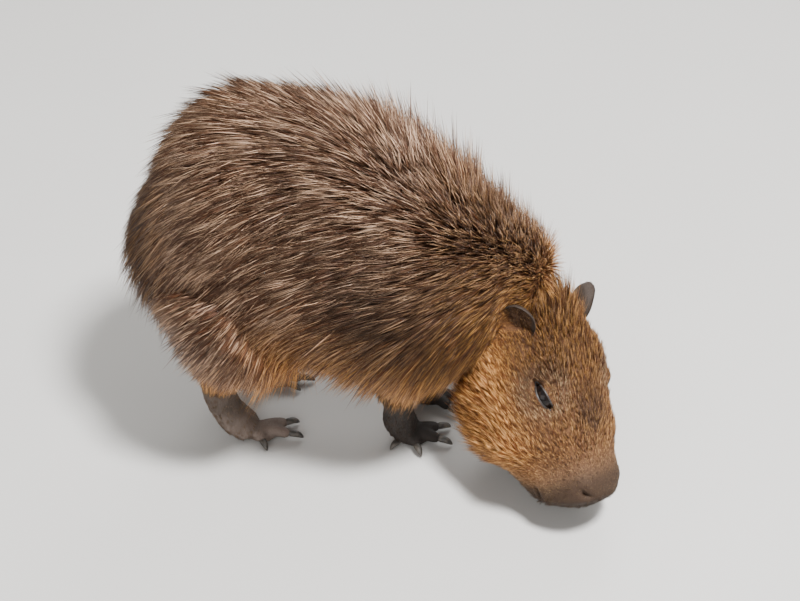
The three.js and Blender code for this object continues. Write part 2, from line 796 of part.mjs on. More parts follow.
// The model stands with the middle of its box's floor at the origin
const capybara = new THREE.Group();
for (const [name, [solid, look]] of nodes) {
  const mesh = solid.getMesh();
  const geometry = new THREE.BufferGeometry();
  geometry.setAttribute("position", new THREE.BufferAttribute(mesh.vertProperties, 3));
  geometry.setIndex(new THREE.BufferAttribute(mesh.triVerts, 1));
  const piece = new THREE.Mesh(geometry, look);
  piece.name = name;
  capybara.add(piece);
}
const box = new THREE.Box3().setFromObject(capybara);
const middle = box.getCenter(new THREE.Vector3()).setZ(box.min.z);
capybara.position.copy(middle).negate();

export default capybara;
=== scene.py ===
"""A still, life-size young capybara that grazes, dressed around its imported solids.

Sizes are millimetres in the solids' own frame, where their source is drawn, and
``Room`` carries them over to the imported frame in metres.
"""

import json
import logging
import math
from dataclasses import dataclass, field
from enum import Enum
from typing import Callable, Sequence

import bpy
import numpy as np
from mathutils import Matrix, Vector
from mathutils.kdtree import KDTree

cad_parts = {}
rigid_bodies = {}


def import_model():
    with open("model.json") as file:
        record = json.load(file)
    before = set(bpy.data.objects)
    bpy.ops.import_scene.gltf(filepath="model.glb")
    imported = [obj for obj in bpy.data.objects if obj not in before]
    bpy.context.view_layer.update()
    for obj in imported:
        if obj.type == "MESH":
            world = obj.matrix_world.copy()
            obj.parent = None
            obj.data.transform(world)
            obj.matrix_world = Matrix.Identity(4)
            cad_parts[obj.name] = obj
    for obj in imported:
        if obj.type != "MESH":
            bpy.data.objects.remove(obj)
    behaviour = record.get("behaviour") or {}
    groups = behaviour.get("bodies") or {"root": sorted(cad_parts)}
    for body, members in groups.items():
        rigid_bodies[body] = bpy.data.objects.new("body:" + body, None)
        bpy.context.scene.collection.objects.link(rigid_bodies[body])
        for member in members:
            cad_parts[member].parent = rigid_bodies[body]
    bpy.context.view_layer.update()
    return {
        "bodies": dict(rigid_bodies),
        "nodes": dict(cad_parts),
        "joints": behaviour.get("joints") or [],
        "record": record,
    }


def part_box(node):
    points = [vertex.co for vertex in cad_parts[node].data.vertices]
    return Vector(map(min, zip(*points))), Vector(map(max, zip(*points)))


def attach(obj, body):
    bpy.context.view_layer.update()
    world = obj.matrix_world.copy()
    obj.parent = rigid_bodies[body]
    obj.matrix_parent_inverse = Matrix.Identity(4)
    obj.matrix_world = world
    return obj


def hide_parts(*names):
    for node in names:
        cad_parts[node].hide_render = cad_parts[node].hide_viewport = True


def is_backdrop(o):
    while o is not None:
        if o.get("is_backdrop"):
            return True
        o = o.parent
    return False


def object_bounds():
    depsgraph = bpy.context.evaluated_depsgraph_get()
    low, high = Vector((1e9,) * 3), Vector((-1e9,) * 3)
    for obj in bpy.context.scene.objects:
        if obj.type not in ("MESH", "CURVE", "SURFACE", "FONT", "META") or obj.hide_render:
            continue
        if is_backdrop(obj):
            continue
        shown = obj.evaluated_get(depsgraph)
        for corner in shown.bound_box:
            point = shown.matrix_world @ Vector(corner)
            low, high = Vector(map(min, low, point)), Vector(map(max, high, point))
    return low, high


log = logging.getLogger("capybara")
Array = np.ndarray
Piece = bpy.types.Object
Section = Callable[[Array, Array], Array]
Colour = tuple[float, float, float, float]

BODY = "root"
SEED = 23
METRE = 1000.0
TAU = 2 * math.pi
UP = np.array([0.0, 0.0, 1.0])
SIDES = (-1, 1)  # the right side, the left side


class Zone(Enum):
    """The parts of the body that differ in their hair."""

    TRUNK = 0
    THIGH = 1
    SHANK = 2
    HEAD = 3
    EAR = 4


def step(low: float, high: float, value: Array) -> Array:
    """A smooth step from 0 at low to 1 at high."""
    part = np.clip((value - low) / (high - low), 0.0, 1.0)
    return part * part * (3 - 2 * part)


def unit(ways: Array) -> Array:
    """The same directions with length one."""
    return ways / np.maximum(np.linalg.norm(ways, axis=-1, keepdims=True), 1e-9)


def dot(first: Array, second: Array) -> Array:
    """The dot products of two lists of directions, as a column."""
    return np.sum(first * second, axis=-1, keepdims=True)


def bell(value: Array, reach: float) -> Array:
    """A bell curve that is 1 at 0 and falls off over a reach."""
    return np.exp(-((value / reach) ** 2))


def opening(share: Array) -> Array:
    """How far a rounded end has opened out, at a share of the end's length."""
    return np.sqrt(np.maximum(0.0, 1 - (1 - np.clip(share, 0.0, 1.0)) ** 2))


def crowded(reach: Array) -> Array:
    """Rows that crowd towards both ends."""
    return (1 - np.cos(np.pi * reach)) / 2


def away(at: Array, spot: Sequence[float]) -> Array:
    """Distances from a spot that both sides of the head have, in the head's frame."""
    both = at * [1, 0, 1] + np.abs(at) * [0, 1, 0]
    return np.linalg.norm(both - spot, axis=-1)


def catmull(rows: Array, share: Array) -> Array:
    """Smooth values through rows of numbers.

    Args:
        rows: One row of numbers for each station.
        share: Where to read them, 0 at the first row and 1 at the last.

    Returns:
        An interpolated row for each share.
    """
    last = len(rows) - 1
    place = np.clip(share, 0.0, 1.0) * last
    start = np.minimum(place.astype(int), last - 1)
    part = (place - start)[..., None]
    ends = np.vstack([2 * rows[0] - rows[1], rows, 2 * rows[-1] - rows[-2]])
    before, here, after, beyond = (ends[start + k] for k in range(4))
    leaves, enters = (after - before) / 2, (beyond - here) / 2
    return (
        here
        + part * leaves
        + part**2 * (3 * (after - here) - 2 * leaves - enters)
        + part**3 * (2 * (here - after) + leaves + enters)
    )


@dataclass(frozen=True)
class Trunk:
    """The trunk and neck: one sweep along a bent spine.

    Each station is a point of the spine, half the height and half the width there.
    """

    stations: tuple = (
        (-222, 0, 264, 64, 94), (-172, 0, 280, 101, 115), (-92, 0, 303, 160, 131),
        (-12, 0, 311, 140, 128), (58, 0, 285, 124, 122), (114, 0, 256, 117, 116),
        (160, 5, 239, 106, 88), (200, 14, 225, 90, 62), (234, 16, 211, 78, 56),
    )
    rump_round: float = 0.34
    rump_point: float = 1.1
    nape_round: float = 0.06
    pear: float = 0.1
    steps: int = 200

    def frames(self) -> Array:
        """The frame carried along the spine without twist.

        Returns:
            For each step the forward, left and up directions.
        """
        rows = np.array(self.stations, float)
        spots = catmull(rows, np.arange(-1, self.steps + 2) / self.steps)[:, :3]
        left = np.array([0.0, 1.0, 0.0])
        made = []
        for before, after in zip(spots[:-2], spots[2:]):
            forward = unit(after - before)
            left = unit(left - forward * (left @ forward))
            made.append((forward, left, np.cross(forward, left)))
        return np.array(made)

    def frame_at(self, share: Array) -> tuple[Array, Array, Array]:
        """The frame at places along the spine.

        Args:
            share: Along the spine, rump to nape.

        Returns:
            The forward, left and up directions.
        """
        made = self.frames()
        place = np.clip(share, 0, 1) * self.steps
        start = np.minimum(place.astype(int), self.steps - 1)
        part = (place - start)[..., None, None]
        both = made[start] * (1 - part) + made[start + 1] * part
        return both[..., 0, :], both[..., 1, :], both[..., 2, :]

    def over(self, share: Array, turn: Array, height: float = 0.0) -> Array:
        """Points over the trunk's skin.

        Args:
            share: Along the spine, rump to nape.
            turn: About the spine, in radians from the left side.
            height: Above the skin.

        Returns:
            A point for each share and turn.
        """
        rows = catmull(np.array(self.stations, float), share)
        forward, left, up = self.frame_at(share)
        tall, wide = rows[..., 3], rows[..., 4]
        rump = opening(share / self.rump_round) ** self.rump_point
        full = rump * opening((1 - share) / self.nape_round)
        side = np.cos(turn) * (wide + height) * (1 - self.pear * np.sin(turn)) * full
        rise = np.sin(turn) * (tall + height) * full
        back = np.maximum(0, 1 - share / self.rump_round) * height
        spine = rows[..., :3]
        return spine + left * side[..., None] + up * rise[..., None] - forward * back[..., None]

    def swept(self, reach: Array, turn: Array) -> Array:
        """The skin for a loft from pole to pole."""
        return self.over(crowded(reach), turn)


@dataclass(frozen=True)
class Head:
    """The head in a frame of its own: along the face, to the left, towards the crown.

    Each station is a place along the face, half the width, the height above and the
    depth below. A swell is a spot that both sides have, its rise and its reach.
    """

    poll: tuple = (240, -3, 189)
    down: float = 48
    turned: float = -56.5
    roll: float = -25
    stations: tuple = (
        (-42, 52, 44, 44), (0, 66, 56, 72), (44, 73, 61, 97), (88, 75, 62, 108), (128, 71, 59, 97),
        (162, 56, 57, 70), (190, 45, 51, 56), (210, 42, 44, 46),
    )
    chin_back: float = 24
    square: float = 0.86
    jaw: float = 0.3
    poll_round: float = 0.12
    nose_round: float = 0.075
    bare: tuple = (150, 190, 3.4)
    swells: tuple = (
        (62, 42, 58, 4, 18), (108, 56, 34, -5, 22), (48, 66, -38, 6, 36), (130, 70, -14, 8, 26),
        (112, 0, 62, 5, 20), (190, 32, 46, 3, 14), (160, 46, 34, -4, 20), (38, 38, 56, 5, 26),
    )

    def basis(self) -> Array:
        """The head's own directions.

        Returns:
            The face, left and crown directions, as rows.
        """
        down, turned, roll = np.radians([self.down, self.turned, self.roll])
        made = Matrix.Rotation(turned, 3, "Z") @ Matrix.Rotation(down, 3, "Y")
        return np.array(made @ Matrix.Rotation(roll, 3, "X")).T

    def way(self, place: Sequence[float] | Array) -> Array:
        """Directions of the head's frame, as the room has them."""
        return np.asarray(place, float) @ self.basis()

    def on(self, place: Sequence[float] | Array) -> Array:
        """Points of the head's frame, as the room has them."""
        return self.way(place) + np.array(self.poll, float)

    def local(self, points: Array) -> Array:
        """Points of the room, in the head's frame."""
        return (points - np.array(self.poll, float)) @ self.basis().T

    def squared(self, value: Array) -> Array:
        """A sine or cosine that makes the sections squarer."""
        return np.sign(value) * np.abs(value) ** self.square

    def over(self, share: Array, turn: Array, height: float = 0.0) -> Array:
        """Points over the head's skin.

        Args:
            share: From nape to nose.
            turn: About the face's axis, in radians from the left side.
            height: Above the skin.

        Returns:
            A point for each share and turn.
        """
        rows = catmull(np.array(self.stations, float), share)
        along, wide, above, below = (rows[..., k] for k in range(4))
        low, high, lift = self.bare
        height = height + step(low, high, along) * lift
        full = opening(share / self.poll_round) * opening((1 - share) / self.nose_round)
        sine, cosine = np.sin(turn), np.cos(turn)
        tall = np.where(sine > 0, above, below)
        jaw = 1 - self.jaw * np.maximum(0, -sine) * step(0.55, 0.95, share)
        chin = self.chin_back * share**3 * (1 - sine) * 0.5
        x = along + height * (2 * share - 1) - chin * full
        y = self.squared(cosine) * (wide + height) * full * jaw
        z = self.squared(sine) * (tall + height) * full
        swell = np.zeros_like(x)
        for at_x, at_y, at_z, rises, reach in self.swells:
            far = (x - at_x) ** 2 + (np.abs(y) - at_y) ** 2 + (z - at_z) ** 2
            swell += rises * np.exp(-far / reach**2)
        y = y + cosine * swell * full
        z = z + sine * swell * full
        return self.on(np.stack([x, y, z], -1))

    def swept(self, reach: Array, turn: Array) -> Array:
        """The skin for a loft from pole to pole, its rows crowded towards the nose."""
        return self.over(np.sin(math.pi / 2 * reach), turn)


@dataclass(frozen=True)
class Limb:
    """A limb through stations: x, y, z, half width, and the other half width's share."""

    stations: tuple

    def over(self, share: Array, turn: Array) -> Array:
        """Points over the limb's skin.

        Args:
            share: Along the limb.
            turn: About it, in radians.

        Returns:
            A point for each share and turn.
        """
        rows = np.array([(*s, 1.0)[:5] for s in self.stations], float)
        at = catmull(rows, share)
        ways = catmull(rows, share + 0.02) - catmull(rows, share - 0.02)
        forward = unit(ways[..., :3])
        left = unit(np.array([0.0, 1.0, 0.0]) - forward * forward[..., 1:2])
        up = np.cross(forward, left)
        ends = 0.5 / (len(rows) - 1)
        full = opening(share / ends) * opening((1 - share) / ends)
        wide, flat = at[..., 3], at[..., 4]
        across = left * (np.cos(turn) * full * wide)[..., None]
        return at[..., :3] + across + up * (np.sin(turn) * full * (wide * flat))[..., None]

    def swept(self, reach: Array, turn: Array) -> Array:
        """The skin for a loft from pole to pole."""
        return self.over(crowded(reach), turn)


@dataclass(frozen=True)
class Leg:
    """A leg: the coated upper leg, the bare lower leg, the foot's root and the claws' tips."""

    upper: tuple
    lower: tuple
    knuckles: tuple
    toes: tuple
    claw: float = 17

    def rays(self) -> list[tuple[Array, Array, Array, Array]]:
        """The toes' middle lines.

        Returns:
            For each toe its root, its claw's tip, the way it points and its flesh's end.
        """
        root = np.array(self.knuckles, float)
        tips = [np.array(toe, float) for toe in self.toes]
        ways = [unit(tip - root) for tip in tips]
        return [(root, tip, way, tip - way * self.claw * 0.6) for tip, way in zip(tips, ways)]


LEGS = (
    Leg(
        (
            (-104, -72, 310, 70), (-96, -82, 220, 58, 1.1), (-116, -70, 155, 32, 1.1),
            (-128, -58, 104, 20, 1.1),
        ),
        (
            (-126, -60, 132, 22), (-132, -55, 84, 20), (-124, -50, 48, 21, 0.9),
            (-112, -44, 24, 23, 0.8), (-92, -42, 10, 22, 0.6),
        ),
        (-92, -42, 11),
        ((-75, -65, 6), (-38, -39, 6), (-48, -15, 6)),
    ),
    Leg(
        (
            (-92, 72, 310, 70), (-84, 82, 220, 58), (-106, 72, 155, 32, 1.1), (-120, 64, 104, 20),
        ),
        (
            (-120, 64, 132, 22), (-126, 61, 84, 20), (-120, 58, 48, 21, 0.9),
            (-112, 56, 24, 23, 0.8), (-98, 56, 10, 22, 0.6),
        ),
        (-98, 56, 11),
        ((-78, 84, 6), (-46, 66, 6), (-60, 46, 6)),
    ),
    Leg(
        (
            (114, -62, 250, 52), (104, -62, 190, 38, 1.1), (94, -50, 135, 22, 1.1),
            (88, -38, 96, 14),
        ),
        (
            (82, -52, 128, 21), (88, -34, 76, 18), (86, -20, 40, 20), (92, -13, 20, 22, 0.85),
            (104, -12, 10, 21, 0.6),
        ),
        (98, -13, 11),
        ((82, -37, 6), (116, -42, 6), (148, -18, 6), (142, 10, 6)),
    ),
    Leg(
        (
            (118, 62, 250, 52), (110, 66, 190, 38, 1.1), (104, 68, 135, 22, 1.1),
            (102, 66, 96, 14),
        ),
        (
            (102, 70, 128, 21), (102, 66, 76, 20), (102, 62, 40, 20), (106, 60, 20, 22, 0.85),
            (116, 60, 10, 21, 0.6),
        ),
        (110, 60, 11),
        ((96, 85, 6), (130, 88, 6), (158, 64, 6), (150, 36, 6)),
    ),
)


@dataclass(frozen=True)
class Patch:
    """A flat frame laid on the head: where it is, the way it faces and the way it runs."""

    at: tuple
    faces: tuple
    runs: tuple
    sunk: float = 0

    def on(self, head: Head, side: int) -> tuple[Array, Array]:
        """The patch on one side of the head.

        Args:
            head: The head that carries it.
            side: -1 for the right side and 1 for the left.

        Returns:
            Its origin, and its long, up and out directions as rows.
        """
        hand = np.array([1, -side, 1])
        out = unit(head.way(np.array(self.faces) * hand))
        long = head.way(np.array(self.runs) * hand)
        long = unit(long - out * (long @ out))
        origin = head.on(np.array(self.at) * hand) - out * self.sunk
        return origin, np.array([long, np.cross(out, long), out])

    def local(self, head: Head, side: int, points: Array) -> Array:
        """Points of the room in the patch's own frame on one side of the head."""
        origin, ways = self.on(head, side)
        return (points - origin) @ ways.T


@dataclass(frozen=True)
class Eye:
    """An eye: its ball, and the almond opening between the lids."""

    patch: Patch = Patch((72, -50, 41), (0.05, -0.79, 0.61), (0.97, 0.2, 0.15), 3)
    ball: float = 15
    long: float = 20
    tall: float = 5.4
    lid: float = 2.2
    blends: tuple = (5, 17)

    def almond(self, u: Array) -> Array:
        """Half the height of the opening at a place along it."""
        return self.tall * np.maximum(0, 1 - (u / self.long) ** 2) ** 0.8

    def beyond(self, u: Array, v: Array) -> Array:
        """How far places lie outside the opening, less than 0 inside it."""
        past = np.maximum(0, np.abs(u) - self.long)
        return np.where(past > 0, np.hypot(past, v), np.abs(v) - self.almond(u))

    def front(self, u: Array, v: Array) -> Array:
        """The height of the ball's surface over its middle."""
        return np.sqrt(np.maximum(4.0, self.ball**2 - u**2 - v**2))


@dataclass(frozen=True)
class EarShape:
    """An ear: a thin cup whose middle is lifted over its root."""

    patch: Patch = Patch((-3, -52, 33), (0.45, -0.85, 0.2), (-0.9, -0.22, 0.34))
    tall: float = 25
    wide: float = 21
    deep: float = 11
    lifted: float = 0.7


@dataclass
class Room:
    """Carries millimetres of the solids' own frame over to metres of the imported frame."""

    head: Head
    eye: Eye
    shift: Array = field(default_factory=lambda: np.zeros(3))
    low: Array = field(default_factory=lambda: np.zeros(3))
    high: Array = field(default_factory=lambda: np.zeros(3))

    def settle(self) -> None:
        """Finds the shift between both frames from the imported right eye, and the solids' box."""
        low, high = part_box("eye_right")
        centre = (np.array(low) + np.array(high)) / 2 * METRE
        self.shift = self.head.on(self.eye.patch.at) - centre
        self.low, self.high = (np.array(corner) * METRE + self.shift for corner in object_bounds())

    def metres(self, points: Array) -> Array:
        """Points of the solids' own frame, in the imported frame."""
        return (points - self.shift) / METRE


def choose(*pieces: Piece) -> None:
    """Selects these pieces alone, or nothing.

    Args:
        pieces: The first of them is active.
    """
    if bpy.context.object and bpy.context.object.mode != "OBJECT":
        bpy.ops.object.mode_set(mode="OBJECT")
    bpy.ops.object.select_all(action="DESELECT")
    for piece in pieces:
        piece.select_set(True)
    if pieces:
        bpy.context.view_layer.objects.active = pieces[0]


def linked(name: str, data: bpy.types.ID) -> Piece:
    """Puts data in the scene as an object.

    Args:
        name: The object's name.
        data: A mesh, a lamp or a camera.

    Returns:
        The object.
    """
    made = bpy.data.objects.new(name, data)
    bpy.context.scene.collection.objects.link(made)
    return made


def read(piece: Piece, name: str = "co") -> Array:
    """Reads a row of three from each of a piece's vertices.

    Args:
        piece: The piece.
        name: "co" for places, or "normal".

    Returns:
        The rows.
    """
    found = np.empty(len(piece.data.vertices) * 3)
    piece.data.vertices.foreach_get(name, found)
    return found.reshape(-1, 3)


def reshape(piece: Piece, places: Array) -> None:
    """Moves a piece's vertices."""
    piece.data.vertices.foreach_set("co", places.ravel())
    piece.data.update()


def turned_out(piece: Piece) -> Piece:
    """Turns a piece's faces outwards.

    Args:
        piece: A closed piece.

    Returns:
        The same piece.
    """
    choose(piece)
    bpy.ops.object.mode_set(mode="EDIT")
    bpy.ops.mesh.select_all(action="SELECT")
    bpy.ops.mesh.normals_make_consistent(inside=False)
    bpy.ops.object.mode_set(mode="OBJECT")
    return piece


def loft(name: str, section: Section, around: int, along: int) -> Piece:
    """A closed body swept from one pole to the other.

    Args:
        name: The piece's name.
        section: Gives points from reaches, 0 to 1 from pole to pole, and turns.
        around: Faces about the sweep.
        along: Faces along it.

    Returns:
        The piece, with its faces turned outwards.
    """
    choose()
    bpy.ops.mesh.primitive_uv_sphere_add(segments=around, ring_count=along, radius=1)
    piece = bpy.context.object
    piece.name = name
    x, y, z = read(piece).T
    reshape(piece, section(np.arccos(np.clip(z, -1, 1)) / math.pi, np.arctan2(y, x)))
    return turned_out(piece)


def globe(reach: Array, turn: Array, swell: float = 0.0) -> Array:
    """Points of a ball of radius one.

    Args:
        reach: From pole to pole, 0 to 1.
        turn: About the poles.
        swell: How far the first pole bulges.

    Returns:
        The points.
    """
    ring, high = np.sin(math.pi * reach), np.cos(math.pi * reach)
    high = high * (1 + swell * step(0.6, 1.0, high))
    return np.stack([np.cos(turn) * ring, np.sin(turn) * ring, high], -1)


def merged(name: str, pieces: Sequence[Piece]) -> Piece:
    """Joins pieces into one.

    Args:
        name: The new piece's name.
        pieces: What it is made of.

    Returns:
        The new piece.
    """
    choose(*pieces)
    bpy.ops.object.join()
    piece = bpy.context.object
    piece.name = piece.data.name = name
    return piece


def eased(piece: Piece, places: Array, weight: Array, rounds: int) -> Array:
    """Smooths places over a piece's edges.

    Args:
        piece: The piece whose edges say which vertices are neighbours.
        places: Values at the vertices, one row each.
        weight: How strongly each vertex follows its neighbours, 0 to 1.
        rounds: How many times.

    Returns:
        The smoothed rows.
    """
    edges = np.empty(len(piece.data.edges) * 2, int)
    piece.data.edges.foreach_get("vertices", edges)
    first, second = edges.reshape(-1, 2).T
    ends = np.concatenate([first, second])
    others = np.concatenate([second, first])
    size = len(places)
    count = np.maximum(1, np.bincount(ends, minlength=size))[:, None]
    for _ in range(rounds):
        sums = [np.bincount(ends, weights=row[others], minlength=size) for row in places.T]
        places = places + (np.stack(sums, 1) / count - places) * weight[:, None]
    return places


def nearest(places: Array, points: Array) -> Array:
    """Finds the nearest of some places.

    Args:
        places: What is searched.
        points: Where from.

    Returns:
        For each point the index of its nearest place.
    """
    tree = KDTree(len(places))
    for index, place in enumerate(places):
        tree.insert(place, index)
    tree.balance()
    return np.array([tree.find(point)[1] for point in points])


@dataclass
class Wire:
    """A shader socket that takes part in Python expressions."""

    bench: "Bench"
    socket: bpy.types.NodeSocket

    def maths(self, kind: str, first: object, second: object) -> "Wire":
        """A Math node over two values."""
        return self.bench.node("ShaderNodeMath", {"operation": kind}, {0: first, 1: second})

    def __add__(self, other: object) -> "Wire":
        """The sum."""
        return self.maths("ADD", self, other)

    def __radd__(self, other: object) -> "Wire":
        """The sum, the other way round."""
        return self.maths("ADD", other, self)

    def __sub__(self, other: object) -> "Wire":
        """The difference."""
        return self.maths("SUBTRACT", self, other)

    def __rsub__(self, other: object) -> "Wire":
        """The difference, the other way round."""
        return self.maths("SUBTRACT", other, self)

    def __mul__(self, other: object) -> "Wire":
        """The product."""
        return self.maths("MULTIPLY", self, other)

    def __rmul__(self, other: object) -> "Wire":
        """The product, the other way round."""
        return self.maths("MULTIPLY", other, self)

    def spread(self, low: float, high: float) -> "Wire":
        """A smooth step from 0 at low to 1 at high."""
        values = {"Value": self, "From Min": low, "From Max": high}
        return self.bench.node("ShaderNodeMapRange", {"interpolation_type": "SMOOTHSTEP"}, values)


def tone(red: float, green: float, blue: float) -> Colour:
    """A colour from its linear red, green and blue."""
    return (red, green, blue, 1.0)


@dataclass
class Bench:
    """Makes the nodes of one material."""

    material: bpy.types.Material

    @classmethod
    def named(cls, name: str) -> "Bench":
        """A bench with a new material.

        Args:
            name: The material's name.

        Returns:
            The bench, its node tree empty but for the output.
        """
        material = bpy.data.materials.new(name)
        material.use_nodes = True
        tree = material.node_tree
        for node in list(tree.nodes):
            if node.bl_idname != "ShaderNodeOutputMaterial":
                tree.nodes.remove(node)
        return cls(material)

    def node(
        self,
        kind: str,
        settings: dict | None = None,
        values: dict | None = None,
        out: object = 0,
    ) -> Wire:
        """Makes a node.

        Args:
            kind: The node's type.
            settings: Its settings, set first.
            values: Numbers, colours or wires for its inputs, by name or place.
            out: The name or place of the output that is returned.

        Returns:
            The output as a wire.
        """
        tree = self.material.node_tree
        made = tree.nodes.new(kind)
        for name, value in (settings or {}).items():
            setattr(made, name, value)
        for name, value in (values or {}).items():
            if isinstance(value, Wire):
                tree.links.new(value.socket, made.inputs[name])
            else:
                made.inputs[name].default_value = value
        return Wire(self, made.outputs[out])

    def mix(self, share: object, first: object, second: object) -> Wire:
        """A mix of two colours."""
        values = {0: share, 6: first, 7: second}
        return self.node("ShaderNodeMix", {"data_type": "RGBA"}, values, 2)

    def place(self) -> Wire:
        """Object coordinates."""
        return self.node("ShaderNodeTexCoord", out="Object")

    def noise(self, scale: float, detail: float = 3.0, place: Wire | None = None) -> Wire:
        """Noise from 0 to 1 over the piece."""
        values = {"Vector": place or self.place(), "Scale": scale, "Detail": detail}
        return self.node("ShaderNodeTexNoise", {}, values, "Fac")

    def attribute(self, name: str, out: str = "Fac") -> Wire:
        """A value that the piece's vertices carry."""
        return self.node("ShaderNodeAttribute", {"attribute_name": name}, out=out)

    def bump(self, height: Wire, strength: float, depth: float) -> Wire:
        """A normal from heights."""
        values = {"Height": height, "Strength": strength, "Distance": depth}
        return self.node("ShaderNodeBump", {}, values, "Normal")

    def finish(self, **values: object) -> bpy.types.Material:
        """Ends the material in one Principled shader.

        Args:
            values: The shader's inputs, with _ for each space.

        Returns:
            The material.
        """
        named = {name.replace("_", " "): value for name, value in values.items()}
        shader = self.node("ShaderNodeBsdfPrincipled", {}, named, "BSDF")
        end = self.material.node_tree.nodes["Material Output"]
        self.material.node_tree.links.new(shader.socket, end.inputs["Surface"])
        return self.material


@dataclass(frozen=True)
class Markings:
    """The coat's colours, shared by the skin and the hair over it, with painted shade towards the
    hair's roots.
    """

    # root: near black, which the painted shade at the hair roots and the dark mark both mix
    # towards.
    root: Colour = tone(0.018, 0.008, 0.004)
    brown: Colour = tone(0.060, 0.022, 0.009)
    tan: Colour = tone(0.82, 0.55, 0.38)
    rust: Colour = tone(0.19, 0.056, 0.009)
    gold: Colour = tone(0.98, 0.46, 0.10)
    smoke: Colour = tone(0.10, 0.062, 0.034)
    ash: Colour = tone(0.48, 0.33, 0.16)
    pale: Colour = tone(0.80, 0.60, 0.36)
    darkest: float = 0.9

    def colour(self, bench: Bench, tip: object, tint: object) -> Wire:
        """The colour at a place.

        Args:
            bench: The material's nodes.
            tip: How far along its hair the place lies, 0 at the root and 1 at the tip.
            tint: How light the hair is, 0 to 1.

        Returns:
            The colour.
        """
        marks = bench.attribute("marks", "Color")
        parts = bench.node("ShaderNodeSeparateColor", {}, {0: marks}).socket.node.outputs
        golden, dark, grey = (Wire(bench, parts[k]) for k in range(3))
        low = bench.mix(grey, bench.mix(golden, self.brown, self.rust), self.smoke)
        high = bench.mix(grey, bench.mix(golden, self.tan, self.gold), self.ash)
        high = bench.mix(bench.attribute("marks", "Alpha"), high, self.pale)
        hair = bench.mix(tint, low, high)
        # The dark mark: darker hair, and painted shade on the upper rump and the fore shanks.
        shade = bench.mix(dark, hair, bench.mix(self.darkest, hair, self.root))
        # Painted shade at the roots: each hair is mixed halfway to near black at its root, fading
        # out along it.
        return bench.mix(tip, bench.mix(0.5, shade, self.root), shade)


@dataclass(frozen=True)
class CoatFinish:
    """Coarse hair, darker at its roots from its own dark base and from painted shade there, in
    light and dark streaks.
    """

    name: str = "coarse_coat"
    marks: Markings = Markings()
    rough: float = 0.42
    gloss: float = 0.3

    def material(self) -> bpy.types.Material:
        """The hair's material.

        Returns:
            The material.
        """
        bench = Bench.named(self.name)
        along = bench.attribute("tip")
        patches = bench.noise(26, 2) * 0.5 - 0.25
        tint = (bench.attribute("tint") + patches) * (0.42 + along.spread(0.2, 0.9) * 0.58)
        return bench.finish(
            Base_Color=self.marks.colour(bench, along.spread(0.0, 0.6), tint.spread(0.0, 1.0)),
            Roughness=self.rough + bench.noise(900, 2) * 0.16,
            Specular_IOR_Level=self.gloss,
        )


@dataclass(frozen=True)
class SkinFinish:
    """Skin under the hair, with part of the painted shade of the hair roots, and leathery where it
    is bare, with painted shade on the bare fore shanks.
    """

    name: str = "skin"
    marks: Markings = Markings()
    bare: Colour = tone(0.060, 0.043, 0.033)
    worn: Colour = tone(0.185, 0.140, 0.116)
    # dark: near black that bare skin is mixed towards by the dark mark, painted shade on the fore
    # shanks.
    crease: Colour = tone(0.02, 0.015, 0.012)
    dark: Colour = tone(0.016, 0.012, 0.010)

    def material(self) -> bpy.types.Material:
        """The skin's material.

        Returns:
            The material.
        """
        bench = Bench.named(self.name)
        place = bench.place()
        # The skin under the coat takes part of the painted root shade, at tip 0.65.
        coated = self.marks.colour(bench, 0.65, bench.noise(850, 2, place).spread(0.4, 0.7) * 0.4)
        cells = {"Vector": place, "Scale": 520.0}
        edges = {"feature": "DISTANCE_TO_EDGE"}
        creases = bench.node("ShaderNodeTexVoronoi", edges, cells, "Distance").spread(0.0, 0.16)
        low = 1 - bench.node("ShaderNodeSeparateXYZ", {}, {0: place}, "Z").spread(0.02, 0.07)
        patchy = bench.noise(70, 5, place).spread(0.3, 0.75) * 0.45
        leather = bench.mix(patchy + low * 0.75, self.bare, self.worn)
        leather = bench.mix((1 - creases) * 0.35, leather, self.crease)
        # Painted shade: the dark mark darkens the bare fore shanks to near black.
        leather = bench.mix(bench.attribute("dark"), leather, self.dark)
        naked = bench.attribute("bare")
        grain = bench.noise(700, 4, place)
        return bench.finish(
            Base_Color=bench.mix(naked, coated, leather),
            Roughness=0.72 - naked * 0.16 + grain * 0.1,
            Normal=bench.bump(creases * naked * 0.6 + grain * 0.5, 0.55, 0.0012),
            Specular_IOR_Level=0.28,
        )


@dataclass(frozen=True)
class EyeFinish:
    """A wet, dark brown eye."""

    name: str = "wet_eye"
    black: Colour = tone(0.004, 0.003, 0.003)
    brown: Colour = tone(0.016, 0.009, 0.006)

    def material(self) -> bpy.types.Material:
        """The eye's material.

        Returns:
            The material.
        """
        bench = Bench.named(self.name)
        mottle = bench.noise(240, 3).spread(0.4, 0.8)
        return bench.finish(
            Base_Color=bench.mix(mottle, self.black, self.brown),
            Roughness=0.12 + mottle * 0.05,
            Specular_IOR_Level=0.12,
            Coat_Weight=0.12,
            Coat_Roughness=0.04,
        )


@dataclass(frozen=True)
class LidFinish:
    """The moist, near black edge of the lids."""

    name: str = "lid_edge"
    black: Colour = tone(0.012, 0.009, 0.008)
    grey: Colour = tone(0.045, 0.036, 0.032)

    def material(self) -> bpy.types.Material:
        """The lid edge's material.

        Returns:
            The material.
        """
        bench = Bench.named(self.name)
        grain = bench.noise(500, 4)
        return bench.finish(
            Base_Color=bench.mix(grain.spread(0.4, 0.75), self.black, self.grey),
            Roughness=0.38 + grain * 0.15,
            Normal=bench.bump(grain, 0.4, 0.0006),
        )


